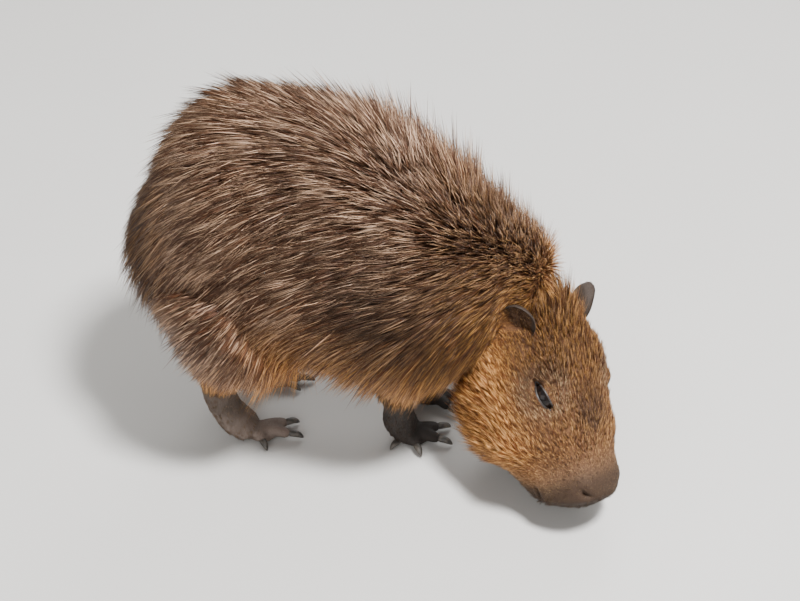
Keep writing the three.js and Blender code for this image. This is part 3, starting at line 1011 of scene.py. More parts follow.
@dataclass(frozen=True)
class HornFinish:
    """Worn dark horn, ridged along the claw."""

    name: str = "claw_horn"
    dark: Colour = tone(0.030, 0.025, 0.021)
    worn: Colour = tone(0.11, 0.092, 0.076)
    ridges: tuple = (60, 60, 420)

    def material(self) -> bpy.types.Material:
        """The claws' material.

        Returns:
            The material.
        """
        bench = Bench.named(self.name)
        values = {"Vector": bench.place(), "Scale": self.ridges}
        ridges = bench.noise(4, 3, bench.node("ShaderNodeMapping", {}, values))
        worn = bench.noise(180, 4).spread(0.35, 0.75)
        return bench.finish(
            Base_Color=bench.mix(worn, self.dark, self.worn),
            Roughness=0.42 + worn * 0.2,
            Normal=bench.bump(ridges, 0.35, 0.0008),
        )


@dataclass(frozen=True)
class FloorFinish:
    """A plain pale floor."""

    name: str = "pale_floor"
    dark: Colour = tone(0.43, 0.42, 0.405)
    light: Colour = tone(0.46, 0.45, 0.435)

    def material(self) -> bpy.types.Material:
        """The floor's material.

        Returns:
            The material.
        """
        bench = Bench.named(self.name)
        pale = bench.mix(bench.noise(3, 2), self.dark, self.light)
        return bench.finish(Base_Color=pale, Roughness=0.9)


@dataclass
class Guides:
    """Points spread over the body's forms, each with what the hair does there."""

    places: list = field(default_factory=list)
    lies: list = field(default_factory=list)
    values: list = field(default_factory=list)
    spots: list = field(default_factory=list)
    zones: list = field(default_factory=list)

    def add(
        self,
        places: Array,
        lies: Array,
        values: Sequence,
        spots: Sequence,
        zone: Zone,
        quarter: Sequence[float] | None = None,
    ) -> None:
        """Adds points.

        Args:
            places: Where they are.
            lies: The way that the hair lies there.
            values: Length, rise, width, crowding and bareness, each a number or an array.
            spots: Their place across and along the unwrap of their form.
            zone: The part of the body.
            quarter: The corner of the form's quarter of the unwrap, or None for all of it.
        """

        def rows(numbers: Sequence) -> Array:
            """Numbers and arrays as one row for each point."""
            spread = [np.broadcast_to(one, places.shape[:-1]) for one in numbers]
            return np.stack(spread, -1).reshape(-1, len(spread))

        flat = rows(spots)
        self.places.append(places.reshape(-1, 3))
        self.lies.append(unit(np.broadcast_to(lies, places.shape).reshape(-1, 3)))
        self.values.append(rows(values))
        self.spots.append(flat if quarter is None else flat * 0.5 + np.array(quarter))
        self.zones.append(np.full(len(flat), zone.value))

    def packed(self) -> tuple[Array, ...]:
        """All points as arrays."""
        lists = (self.places, self.lies, self.values, self.spots, self.zones)
        return tuple(np.concatenate(one) for one in lists)


def grid(along: int, around: int) -> tuple[Array, Array]:
    """An even net over a form, its poles left out.

    Args:
        along: Rows along the form.
        around: Points about it.

    Returns:
        The shares and the turns.
    """
    share = (np.arange(along) + 0.5) / along
    turn = np.arange(around) / around * TAU
    return np.meshgrid(share, turn, indexing="ij")


@dataclass
class Coat:
    """How the hair lies, how long it is and how it is marked all over the body.

    Spots with three numbers are in the head's frame, and both sides have them.
    """

    trunk: Trunk
    head: Head
    hang: float = 0.45
    hang_low: tuple = (300, 180)
    long: float = 57
    crest: tuple = (0.32, 1.02)
    quarters: tuple = ((0, 0), (0.5, 0), (0, 0.5), (0.5, 0.5))
    toe: float = 8
    eye_at: tuple = (72, 50, 41)
    brow_at: tuple = (40, 36, 56)
    ear_at: tuple = (-3, 52, 33)
    gland_at: tuple = (106, 0, 69)
    nostril_at: tuple = (197, 31, 46)
    lip_at: tuple = (184, 48, -11)

    def on_trunk(self, guides: Guides) -> None:
        """Adds the trunk's and neck's points.

        Args:
            guides: Takes the points.
        """
        share, turn = grid(150, 150)
        places = self.trunk.over(share, turn)
        forward, _, _ = self.trunk.frame_at(share)
        up = np.sin(turn)
        low = 1 - step(self.hang_low[1], self.hang_low[0], places[..., 2])
        rump = step(0, 0.3, 0.3 - share)
        neck = step(0.56, 0.94, share)
        last = step(0.86, 0.97, share)
        belly = step(0.1, 0.7, -up)
        first, end = self.crest
        crest = step(first, first + 0.14, share) * step(0.62, 0.95, up)
        crest = crest * (1 - step(end - 0.05, end, share))
        hangs = self.hang + (1 - self.hang) * np.maximum(rump, low * 0.6)
        hangs = (hangs * (1 - 0.5 * neck))[..., None]
        lies = -forward * (1.15 - hangs) - UP * hangs
        long = self.long * (1 - 0.6 * neck + 0.25 * crest * neck * (1 - last))
        long = long * (1 + 0.15 * belly + 0.12 * rump)
        rise = 0.28 + 0.42 * crest + 0.1 * belly + 0.12 * neck + 0.1 * rump
        crowd = 1.25 + 1.3 * neck - 0.7 * step(0.75, 0.97, -up)
        values = (long, rise, 1.55 - 0.4 * neck, crowd, 0)
        guides.add(places, lies, values, (turn / TAU, share), Zone.TRUNK)

    def on_legs(self, guides: Guides) -> None:
        """Adds the legs' points, each leg on its own quarter of the unwrap.

        Args:
            guides: Takes the points.
        """
        for quarter, leg in zip(self.quarters, LEGS):
            share, turn = grid(40, 40)
            places = Limb(leg.upper).over(share, turn)
            height = places[..., 2]
            slant = 0.3 + 0.75 * step(120, 230, height)[..., None]
            lies = np.array([-1.0, 0, 0]) * slant - UP
            values = (20 + 24 * step(130, 230, height), 0.34, 1.6, 1.1, 0)
            guides.add(places, lies, values, (turn / TAU, share * 0.5), Zone.THIGH, quarter)
            share, turn = grid(40, 30)
            places = Limb(leg.lower).over(share, turn)
            furred = step(92, 118, places[..., 2])
            wide, crowd = 0.9 + 0.5 * furred, 1.2 + 0.3 * furred
            values = (5.5 + 13 * furred, 0.2, wide, crowd, 1 - 0.75 * furred)
            spots = (turn / TAU, 0.5 + share * 0.5)
            guides.add(places, np.array([0.1, 0, -1.0]), values, spots, Zone.SHANK, quarter)
            share, turn = grid(12, 10)
            for index, (root, tip, way, _) in enumerate(leg.rays()):
                middle = root + (tip - root) * share[..., None]
                side = np.cross(way, UP) * np.cos(turn)[..., None]
                places = middle + (side + UP * np.sin(turn)[..., None]) * self.toe
                spots = (0.1 * index + share * 0.09, 0.98)
                guides.add(places, way, (3.5, 0.2, 0.8, 0.3, 1), spots, Zone.SHANK, quarter)

    def on_head(self, guides: Guides) -> None:
        """Adds the head's points.

        Args:
            guides: Takes the points.
        """
        share, turn = grid(90, 90)
        places = self.head.over(share, turn)
        at = self.head.local(places)
        x, y, z = at[..., 0], at[..., 1], at[..., 2]
        side = np.abs(y)
        cheek = step(30, 62, side) * step(20, -50, z) * (1 - step(120, 168, x))
        under = step(-40, -90, z)
        muzzle = step(128, 178, x)
        nape = 1 - step(-30, 30, x)
        crown = nape * step(60, 22, side) * step(5, 35, z)
        nose = 0.5 * step(200, 210, x) * step(-24, -6, z)
        lidded = bell(away(at, self.eye_at) - 12, 16)
        browed = bell(away(at, self.brow_at), 26)
        eared = bell(away(at, self.ear_at), 48) * (0.25 + 0.75 * step(20, 46, side))
        aside = np.sign(y) * 0.12 * (1 - cheek)
        lies = self.head.way(np.stack([-1 + 0 * x, aside, -(0.12 + 0.5 * cheek)], -1))
        long = 12 + 12 * cheek + 14 * under * (1 - muzzle) + 9 * nape + 26 * crown
        long = long * (1 - 0.3 * lidded) + 6 * browed
        long = long * (1 - muzzle) + (4 + 2.5 * step(20, -30, z)) * muzzle
        long = long * (1 - 0.55 * eared)
        rise = 0.34 + 0.12 * cheek + 0.22 * nape + 0.4 * crown + 0.3 * browed - 0.1 * lidded
        width = 0.95 - 0.3 * muzzle + 0.2 * cheek - 0.15 * lidded
        crowd = (2.3 + 1.0 * muzzle + 0.8 * lidded + 1.3 * eared) * (1 - 0.6 * nose)
        values = (long, rise, width, crowd, nose * 0.5)
        guides.add(places, lies, values, (turn / TAU, share), Zone.HEAD)

    def marks(self, points: Array, zones: Array) -> Array:
        """The coat's markings, and painted shade on the upper rump and the fore shanks.

        Args:
            points: Places on the skin.
            zones: The part of the body that each belongs to.

        Returns:
            For each how golden, how dark, how grey and how pale its hair is.
        """
        thigh, shank, face = (zones == z.value for z in (Zone.THIGH, Zone.SHANK, Zone.HEAD))
        x, z = points[:, 0], points[:, 2]
        low = np.where(thigh, 1 - step(95, 265, z), 1 - step(185, 330, z))
        # The rump mask: painted shade darkening the upper rump, turned from the light, and more
        # golden hair there.
        rump = 1 - step(-202, -112, x)
        neck = step(110, 190, x)
        shoulder = bell(x - 95, 75) * bell(z - 262, 75)
        spine = 400 - 0.0042 * np.maximum(0, x + 60) ** 2
        crest = step(0.85, 1.0, z / spine) * step(-60, 20, x)
        gold = 0.08 + 0.9 * low + 0.45 * neck + 0.85 * rump
        dark = 0.14 + 0.3 * crest + 1.1 * rump * step(180, 260, z) - 0.12 * low
        dark = dark + 0.6 * shoulder + 0.4 * neck * step(140, 230, z)
        # Painted shade: the fore shanks are darkened to near black, the hind shanks are not.
        dark = np.where(shank, 0.95 * (x > 50), dark)
        grey = np.where(shank, 1 - 0.5 * step(80, 125, z), 0.0)
        grey = np.where(thigh, 0.3 * (1 - step(100, 150, z)), grey)
        at = self.head.local(points)
        along, side, crown = at[:, 0], np.abs(at[:, 1]), at[:, 2]
        cheek = step(25, 60, side) * step(35, -15, crown)
        brow = step(40, 110, along) * (1 - cheek)
        muzzle = step(135, 188, along)
        tip = step(164, 196, along)
        ring = bell(away(at, self.eye_at) - 24, 9)
        spots = 1.2 * bell(away(at, self.gland_at), 18)
        spots = spots + 1.4 * bell(away(at, self.nostril_at), 12)
        spots = spots + 0.9 * bell(away(at, self.lip_at), 8)
        shade = 0.92 - 0.84 * cheek - 0.2 * brow - 0.08 * muzzle + 0.62 * tip + spots
        on_face = (
            1.0 - 0.12 * cheek - 0.4 * muzzle - 0.2 * brow,
            shade,
            0.1 * brow + 0.45 * muzzle + 0.3 * tip,
            0.8 * ring + 0.12 * cheek,
        )
        elsewhere = (gold, dark, grey, 0 * gold)
        return np.clip(np.where(face, on_face, elsewhere).T, 0, 1)


@dataclass
class Fields:
    """What the hair does at each vertex of the skin."""

    lies: Array
    values: Array
    spots: Array
    zones: Array
    marks: Array


@dataclass
class Skin:
    """One closed skin over trunk, head, legs and feet, with its folds."""

    trunk: Trunk
    head: Head
    eye: Eye
    ear: EarShape
    voxel: float = 3.25
    toe: float = 8.6
    toe_end: float = 6.8
    web: tuple = (0.2, 19, 17, 7)
    nostril: Patch = Patch((197, -31, 46), (0.4, -0.6, 0.7), (0.6, 0.8, 0))
    mouth: tuple = (172, 182, -22)
    ease: int = 14

    def forms(self) -> list[Piece]:
        """The lofts that the skin is drawn over.

        Returns:
            The pieces.
        """
        made = [loft("trunk", self.trunk.swept, 96, 96), loft("head", self.head.swept, 96, 96)]
        for leg in LEGS:
            made.append(loft("upper", Limb(leg.upper).swept, 40, 40))
            made.append(loft("lower", Limb(leg.lower).swept, 32, 40))
            made += self.toes(leg)
        return made

    def toes(self, leg: Leg) -> list[Piece]:
        """The web and toes of one foot.

        Args:
            leg: The foot's leg.

        Returns:
            The pieces.
        """
        share, along, across, thick = self.web
        root = np.array(leg.knuckles, float)
        middle = np.mean(np.array(leg.toes, float), axis=0)
        ahead = unit((middle - root) * np.array([1, 1, 0]))
        centre = (root + (middle - root) * share) * np.array([1, 1, 0]) + UP * (thick - 1)
        axes = np.array([ahead * along, np.cross(ahead, UP) * across, UP * thick])

        def web(reach: Array, turn: Array) -> Array:
            """A ball stretched to the web's size."""
            return centre + globe(reach, turn) @ axes

        made = [loft("web", web, 24, 16)]
        for root, tip, _, last in leg.rays():
            knuckle = root + (tip - root) * 0.3 + UP * 3
            bent = root + (tip - root) * 0.55 + UP * 2.5
            sizes = (self.toe, self.toe * 0.94, self.toe * 0.88, self.toe_end)
            limb = Limb(tuple((*s, size) for s, size in zip((root, knuckle, bent, last), sizes)))
            made.append(loft("toe", limb.swept, 16, 20))
        return made

    def fused(self) -> Piece:
        """The forms drawn over by one even net of faces, with soft passages between them.

        Returns:
            The skin, without its folds and ears.
        """
        skin = merged("skin", self.forms())
        skin.data.remesh_voxel_size = self.voxel
        skin.data.remesh_voxel_adaptivity = 0.0
        bpy.ops.object.voxel_remesh()
        places = read(skin)
        at = self.head.local(places)
        far = np.linalg.norm(at - [90, 0, 0], axis=1)
        on_face = step(10, 50, at[:, 0]) * step(140, 100, far)
        weight = 0.6 * step(60, 120, places[:, 2]) * (1 - 0.85 * on_face) + 0.12
        reshape(skin, eased(skin, places, weight, self.ease))
        return skin

    def refined(self, skin: Piece) -> None:
        """Splits the faces about eyes, nostrils and mouth.

        Args:
            skin: The skin.
        """
        places = read(skin)
        at = self.head.local(places)
        near = (np.abs(at[:, 2] - self.mouth[2] - 5) < 12) & (at[:, 0] > 160)
        for side in SIDES:
            local = self.eye.patch.local(self.head, side, places)
            near |= (np.linalg.norm(local[:, :2] / [30, 18], axis=1) < 1) & (local[:, 2] > 0)
            local = self.nostril.local(self.head, side, places)
            near |= np.linalg.norm(local, axis=1) < 15
        choose(skin)
        mesh = skin.data
        mesh.vertices.foreach_set("select", near)
        mesh.edges.foreach_set("select", np.zeros(len(mesh.edges), bool))
        mesh.polygons.foreach_set("select", np.zeros(len(mesh.polygons), bool))
        bpy.context.tool_settings.mesh_select_mode = (True, False, False)
        bpy.ops.object.mode_set(mode="EDIT")
        bpy.ops.mesh.select_mode(type="VERT")
        bpy.ops.mesh.subdivide(number_cuts=1, smoothness=0.0)
        bpy.ops.object.mode_set(mode="OBJECT")

    def folded(self, skin: Piece) -> None:
        """Draws the lids, nostrils, mouth and flat soles into the skin.

        Args:
            skin: The skin.
        """
        places = read(skin)
        out = read(skin, "normal")
        x, y, z = self.head.local(places).T
        for side in SIDES:
            places = self.lids(places, side)
            u, v, w = self.nostril.local(self.head, side, places).T
            bent = v - 0.03 * u**2 + 1.0
            pit = 6.5 * np.exp(-((u / 7.5) ** 2) - (bent / 3.0) ** 2)
            recess = 2.2 * np.exp(-(((u - 1) / 12) ** 2) - ((v - 1) / 7.5) ** 2)
            places = places - out * ((pit + recess) * (np.abs(w) < 16))[:, None]
        line = self.mouth[2] + 11 * step(18, 48, np.abs(y)) + 2.5 * bell(y, 12)
        far = step(self.mouth[0], self.mouth[1], x)
        lips = 1.5 * bell(z - line - 5.5, 3.5) + 1.3 * bell(z - line + 5.5, 3.5)
        groove = -4.6 * bell(z - line, 2.0) + lips
        cleft = -1.8 * bell(y, 1.8) * step(188, 198, x) * step(line, line + 4, z) * step(44, 34, z)
        places = places + out * (groove * far + cleft)[:, None]
        places[:, 2] = np.maximum(places[:, 2], 0.0)
        reshape(skin, places)

    def lids(self, places: Array, side: int) -> Array:
        """Moves the skin about an eye to lids that close over the ball.

        Args:
            places: The skin's vertices.
            side: The side of the head.

        Returns:
            The vertices, moved.
        """
        origin, ways = self.eye.patch.on(self.head, side)
        u, v, w = ((places - origin) @ ways.T).T
        beyond = self.eye.beyond(u, v)
        front = self.eye.front(u, v)
        near, far = self.eye.blends
        fold = -1.1 * bell(beyond - 5.5, 1.3) - 0.7 * bell(beyond - 10.5, 1.6) * (v > 0)
        bag = 1.2 * bell(beyond - 8, 3) * (v < 0)
        lid = np.maximum(front + self.eye.lid, 5.0) + fold + bag
        covered = lid + (np.maximum(w, lid) - lid) * step(0, near, beyond)
        target = covered + (w - covered) * step(near, far, beyond)
        target = np.where(beyond < 0, front - 3.2, target)
        moved = (w > 2) & (beyond < far) & (np.abs(u) < 40)
        return places + np.outer(np.where(moved, target, w) - w, ways[2])

    def ear_piece(self, side: int) -> Piece:
        """One ear: a cup with a rounded rim, a fold along its front edge and a ridge inside.

        Args:
            side: The side of the head.

        Returns:
            The ear.
        """
        ear = self.ear
        origin, (long, across, out) = ear.patch.on(self.head, side)
        middle = origin + long * ear.tall * ear.lifted

        def section(reach: Array, turn: Array) -> Array:
            """The cup's back and its hollow front.

            Args:
                reach: From the hollow's floor to the back's middle.
                turn: About the ear.

            Returns:
                The points.
            """
            ring, high = np.sin(math.pi * reach), np.cos(math.pi * reach)
            top = np.sin(turn)
            depth = np.abs(high)
            a = np.cos(turn) * ring * ear.wide * (1 - 0.06 * top)
            b = top * ring * ear.tall * np.where(top > 0, 0.97, 1.0)
            floor = -(ear.deep - 3.2) * depth**0.9 + 1.6 * (1 - depth)
            ridge = 2.4 * bell(a - 5 - 0.2 * b, 3.2) * step(0.25, 0.7, depth)
            curl = 2.6 * step(0.75, 1.0, ring) * step(0.1, 0.9, top)
            c = np.where(high > 0, floor + ridge, -ear.deep * depth) + curl
            return middle + np.outer(a, across) + np.outer(b, long) + np.outer(c, out)

        return loft("ear", section, 48, 40)

    def made(self) -> tuple[Piece, int]:
        """The whole skin.

        Returns:
            The skin, and how many of its vertices come before those of the ears.
        """
        skin = self.fused()
        self.refined(skin)
        self.folded(skin)
        body = len(skin.data.vertices)
        return merged("skin", [skin, *(self.ear_piece(side) for side in SIDES)]), body


@dataclass
class Claws:
    """Thick blunt claws, one past each toe."""

    wide: float = 5
    floor: float = 0.05
    heights: tuple = (9, 8, 3)
    sizes: tuple = (0.9, 0.86, 0.36)
    flats: tuple = (1.0, 0.9, 0.8)

    def made(self) -> Piece:
        """All claws.

        Returns:
            One piece.
        """
        made = []
        for leg in LEGS:
            for _, tip, way, last in leg.rays():
                spots = (last - way * 5, tip - way * 2, tip + way * 6)
                rows = zip(spots, self.heights, self.sizes, self.flats)
                limb = Limb(tuple((s[0], s[1], z, self.wide * w, flat) for s, z, w, flat in rows))
                made.append(loft("claw", limb.swept, 20, 20))
        claws = merged("claws", made)
        places = read(claws)
        places[:, 2] = np.maximum(places[:, 2], self.floor)
        reshape(claws, places)
        return claws


@dataclass
class Eyes:
    """The eyeballs and the moist edges of their lids."""

    head: Head
    eye: Eye
    cornea: float = 0.04
    edge: float = 1.0
    lifted: float = 0.9
    round: tuple = (96, 10)

    def ball(self, side: int) -> Piece:
        """An eyeball with a slight bulge of its cornea.

        Args:
            side: The side of the head.

        Returns:
            The eyeball.
        """
        origin, ways = self.eye.patch.on(self.head, side)

        def section(reach: Array, turn: Array) -> Array:
            """A ball with its pole forwards."""
            return origin + self.eye.ball * (globe(reach, turn, self.cornea) @ ways)

        return loft("eyeball", section, 64, 48)

    def rim(self, side: int) -> Piece:
        """A soft rim round the opening.

        Args:
            side: The side of the head.

        Returns:
            A closed tube.
        """
        origin, ways = self.eye.patch.on(self.head, side)
        count, sides = self.round
        turn = np.arange(count) / count * TAU
        around = np.arange(sides) / sides * TAU
        u = np.cos(turn) * (self.eye.long - 0.4)
        v = np.sign(np.sin(turn)) * self.eye.almond(u)
        line = np.stack([u, v, self.eye.front(u, v) + self.lifted], -1)
        runs = unit(np.roll(line, -1, axis=0) - np.roll(line, 1, axis=0))
        aside = unit(np.cross(runs, UP))
        lifts = np.cross(aside, runs)
        thick = self.edge * (1 + 0.25 * np.abs(np.sin(turn)))[:, None, None]
        ring = aside[:, None] * np.cos(around)[:, None] + lifts[:, None] * np.sin(around)[:, None]
        tube = (line[:, None] + ring * thick).reshape(-1, 3)
        first = np.arange(count)[:, None] * sides
        after = (np.arange(count)[:, None] + 1) % count * sides
        here, there = np.arange(sides), (np.arange(sides) + 1) % sides
        quads = np.stack([first + here, first + there, after + there, after + here], -1)
        mesh = bpy.data.meshes.new("lid_edge")
        mesh.from_pydata((origin + tube @ ways).tolist(), [], quads.reshape(-1, 4).tolist())
        return turned_out(linked("lid_edge", mesh))

    def made(self) -> tuple[Piece, Piece]:
        """The eyeballs, and the lids' edges."""
        balls = merged("eyeballs", [self.ball(side) for side in SIDES])
        return balls, merged("lid_edges", [self.rim(side) for side in SIDES])


@dataclass
class Hair:
    """Tufts of hair as solid mesh, rooted all over the skin.

    A row of values is length, rise, width, crowding and bareness. Where there are two
    rows for the ears, the first is for their hollows, the second for rims and backs.
    """

    coat: Coat
    eye: Eye
    ear: EarShape
    skin: Piece
    body: int
    low: Array
    high: Array
    tufts: int = 148000
    clumps: int = 17000
    patch: float = 0.003
    seed: int = SEED
    slack: float = 7
    soft: tuple = (14, 14, 4.2)
    floor: float = 1.5
    shares: tuple = (0.0, 0.5, 1.0)
    taper: tuple = (1.0, 0.74)
    flat: float = 0.6
    ear_lie: tuple = (-0.9, 0, 0.34)
    ear_spot: tuple = (0.5, 0.02)
    ear_values: tuple = ((8, 0.45, 1.1, 2.2, 0.1), (2.2, 0.2, 0.7, 1.2, 0.8))
    ear_marks: tuple = ((0.5, 0.75, 0.25, 0), (0.25, 0.85, 0.7, 0))
    uneven: tuple = (0.08, 0.15, 0.05, 0.06)

    def within(self, spots: Array) -> Array:
        """Bends hair softly back that would leave the solids' box by more than the slack.

        Args:
            spots: Points of the hair.

        Returns:
            The points, moved.
        """
        low = self.low - [self.slack, self.slack, -self.floor]
        high = self.high + self.slack
        reach = self.soft[0]
        past = np.maximum(0, spots - (high - reach))
        spots = spots - past + reach * (1 - np.exp(-past / reach))
        reach = np.array(self.soft)
        past = np.maximum(0, low + reach - spots)
        return spots + past - reach * (1 - np.exp(-past / reach))

    def even(self, rows: Array, rounds: int) -> Array:
        """Rows at the skin's vertices, smoothed everywhere but on the ears."""
        weight = np.where(np.arange(len(rows)) < self.body, 0.5, 0.0)
        return eased(self.skin, rows, weight, rounds)

    def fields(self) -> Fields:
        """Reads the coat's guides at each vertex of the skin.

        Returns:
            What the hair does there.
        """
        guides = Guides()
        self.coat.on_trunk(guides)
        self.coat.on_legs(guides)
        self.coat.on_head(guides)
        places, lies, values, spots, zones = guides.packed()
        points = read(self.skin)
        near = nearest(places, points[: self.body])

        def full(rows: Array, other: object) -> Array:
            """Fills rows for all vertices.

            Args:
                rows: The guides' rows.
                other: What the ears' vertices have.

            Returns:
                A row for each vertex.
            """
            made = np.empty((len(points), *rows.shape[1:]), rows.dtype)
            made[: self.body] = rows[near]
            made[self.body :] = other
            return made

        zones = full(zones, Zone.EAR.value)
        lies = unit(self.even(full(lies, self.coat.head.way(self.ear_lie)), 12))
        values = self.even(full(values, self.ear_values[0]), 8)
        marks = self.coat.marks(points, zones)
        inside = self.in_ears(points)[:, None]
        ears = zones == Zone.EAR.value
        for rows, pair in ((marks, self.ear_marks), (values, self.ear_values)):
            rows[ears] = (pair[0] * inside + pair[1] * (1 - inside))[ears]
        return Fields(lies, values, full(spots, self.ear_spot), zones, self.even(marks, 10))

    def in_ears(self, points: Array) -> Array:
        """How far points lie in the hollows of the ears.

        Args:
            points: The skin's vertices.

        Returns:
            For each from 0 on the rims and backs to 1.
        """
        ear, head = self.ear, self.coat.head
        out = read(self.skin, "normal")
        inner = np.zeros(len(points))
        for side in SIDES:
            u, v, _ = ear.patch.local(head, side, points).T
            rim = np.hypot((u - ear.tall * ear.lifted) / ear.tall, v / ear.wide)
            facing = out @ ear.patch.on(head, side)[1][2]
            inner = np.maximum(inner, step(0.88, 0.62, rim) * step(0.1, 0.5, facing))
        return inner

    def kept(self, piece: Piece, name: str, values: Array) -> None:
        """Stores values at a piece's vertices.

        Args:
            piece: The piece.
            name: The attribute's name.
            values: Numbers, or rows of four for a colour.
        """
        kind, place = ("FLOAT_COLOR", "color") if values.ndim > 1 else ("FLOAT", "value")
        made = piece.data.attributes.new(name, kind, "POINT")
        made.data.foreach_set(place, values.astype(np.float32).ravel())

    def roots(self, fields: Fields, chance: np.random.Generator) -> dict[str, Array]:
        """Draws the tufts' roots over the skin.

        Args:
            fields: What the hair does at the skin's vertices.
            chance: Where random numbers come from.

        Returns:
            Arrays by name, one row for each tuft.
        """
        mesh = self.skin.data
        mesh.calc_loop_triangles()
        threes = np.empty(len(mesh.loop_triangles) * 3, int)
        mesh.loop_triangles.foreach_get("vertices", threes)
        threes = threes.reshape(-1, 3)
        # The faces of a sphere come in an order that changes from run to run.
        ears = (threes >= self.body).all(1)
        threes[ears] = threes[ears][np.lexsort(threes[ears].T)]
        points = read(self.skin)
        out = unit(self.even(read(self.skin, "normal"), 3))
        a, b, c = (points[threes[:, k]] for k in range(3))
        area = np.linalg.norm(np.cross(b - a, c - a), axis=1) / 2
        sums = np.cumsum(area * fields.values[threes, 3].mean(1))
        picks = np.searchsorted(sums, chance.random(self.tufts) * sums[-1])
        first, second = chance.random((2, self.tufts))
        flip = first + second > 1
        first, second = np.where(flip, 1 - first, first), np.where(flip, 1 - second, second)
        weights = np.stack([1 - first - second, first, second], -1)
        rows = threes[picks]

        def at_roots(values: Array) -> Array:
            """Values at the roots."""
            return np.einsum("ij,ijk->ik", weights, values[rows])

        return {
            "at": at_roots(points),
            "out": unit(at_roots(out)),
            "lie": at_roots(fields.lies),
            "values": at_roots(fields.values),
            "marks": at_roots(fields.marks),
            "spot": fields.spots[rows[:, 0]],
            "zone": fields.zones[rows[:, 0]],
        }

    def clear(self, roots: dict[str, Array]) -> Array:
        """Which roots lie clear of the eyes' openings, the nostrils and the floor.

        Args:
            roots: The tufts' roots.

        Returns:
            True for each that does.
        """
        keep = roots["at"][:, 2] > 2.5
        for side in SIDES:
            u, v, w = self.eye.patch.local(self.coat.head, side, roots["at"]).T
            keep &= (self.eye.beyond(u, v) > 1.6) | (w < 2)
            u, v, _ = Skin.nostril.local(self.coat.head, side, roots["at"]).T
            keep &= (u / 8) ** 2 + (v / 4) ** 2 > 1
        return keep

    def at_ears(self, lines: Array, roots: dict[str, Array]) -> Array:
        """Which tufts stand in the ears' way, apart from the ears' own.

        Args:
            lines: The tufts' middle lines.
            roots: Their roots.

        Returns:
            True for each that does.
        """
        ear = self.ear
        met = np.zeros(len(lines), bool)
        for side in SIDES:
            u, v, w = np.moveaxis(ear.patch.local(self.coat.head, side, lines), -1, 0)
            disc = ((u - ear.tall * ear.lifted - 3) / ear.tall) ** 2 + (v / ear.wide) ** 2
            met |= ((disc < 0.85) & (u > 7) & (w > -5) & (w < 20)).any(1)
        return met & (roots["zone"] != Zone.EAR.value)

    def strands(
        self, roots: dict[str, Array], chance: np.random.Generator
    ) -> tuple[Array, Array]:
        """The middle lines of the tufts, whose tips gather in clumps.

        Args:
            roots: The tufts' roots, which are given their clumps' shades.
            chance: Where random numbers come from.

        Returns:
            Points of each line from root to tip, and the way across each tuft.
        """
        at, out, values = roots["at"], roots["out"], roots["values"]
        count = len(at)
        lie = unit(roots["lie"] - out * dot(roots["lie"], out))
        across = np.cross(lie, out)
        centres = chance.choice(count, min(self.clumps, count // 6), replace=False)
        clump = nearest(at[centres], at)

        def varied(shared: float, own: float) -> Array:
            """What differs from clump to clump, and from tuft to tuft."""
            return chance.normal(0, shared, len(centres))[clump] + chance.normal(0, own, count)

        sway = varied(0.11, 0.07)
        lift = 1 + varied(0.2, 0.14)
        scale = np.clip(1 + varied(0.12, 0.14), 0.5, 1.5)
        lie = unit(lie + across * sway[:, None])
        long = (values[:, 0] * scale)[:, None]
        rise = np.clip(values[:, 1] * lift, 0.08, 1.0)[:, None]
        flat = np.sqrt(np.maximum(0.05, 1 - rise**2 * 0.6))
        draw = at[centres][clump] - at
        draw = (draw - out * dot(draw, out)) * 0.45
        hang = np.clip(-out[:, 2:3] + 0.35, 0, 1) * 0.35
        roots["clump"] = chance.random(len(centres))[clump]
        lines = []
        for share in self.shares:
            height = rise * (share - 0.42 * share**2 * (1.25 - rise))
            spot = at + lie * long * share * flat + out * (long * height - 1.2 * (1 - share))
            spot = spot + draw * share
            spot[:, 2:3] -= long * hang * share**2
            lines.append(self.within(spot))
        return np.stack(lines, 1), unit(np.cross(lie, out))

    def shades(
        self, roots: dict[str, Array], chance: np.random.Generator
    ) -> tuple[Array, Array, Array]:
        """How light, how marked and how wide tufts are.

        Args:
            roots: Their roots.
            chance: Where random numbers come from.

        Returns:
            Their tints, markings and widths.
        """
        count = len(roots["at"])
        often = 0.3 + 0.26 * roots["marks"][:, 0]
        light = (chance.random(count) < often) * (0.62 + 0.38 * chance.random(count))
        marks = np.clip(roots["marks"] + chance.normal(0, 1, (count, 4)) * self.uneven, 0, 1)
        tint = np.clip(0.14 * chance.random(count) + light + 0.2 * roots["clump"] ** 2, 0, 1)
        tint = tint * (1 - 0.8 * roots["values"][:, 4])
        odd = np.clip(chance.normal(1, 0.18, count), 0.5, 1.6)
        return tint, marks, roots["values"][:, 2] * odd * (1.08 - 0.36 * tint)

    def faces(self, rings: int) -> list[tuple[int, int, int]]:
        """The faces of a tuft of three sides.

        Args:
            rings: Its rings of three vertices, the tip not counted.

        Returns:
            Triangles that close it.
        """
        made = [(2, 1, 0)]
        for side in range(3):
            here, there = side, (side + 1) % 3
            for low in range(0, 3 * (rings - 1), 3):
                made.append((low + here, low + there, low + there + 3))
                made.append((low + here, low + there + 3, low + here + 3))
            low = 3 * (rings - 1)
            made.append((low + here, low + there, 3 * rings))
        return made

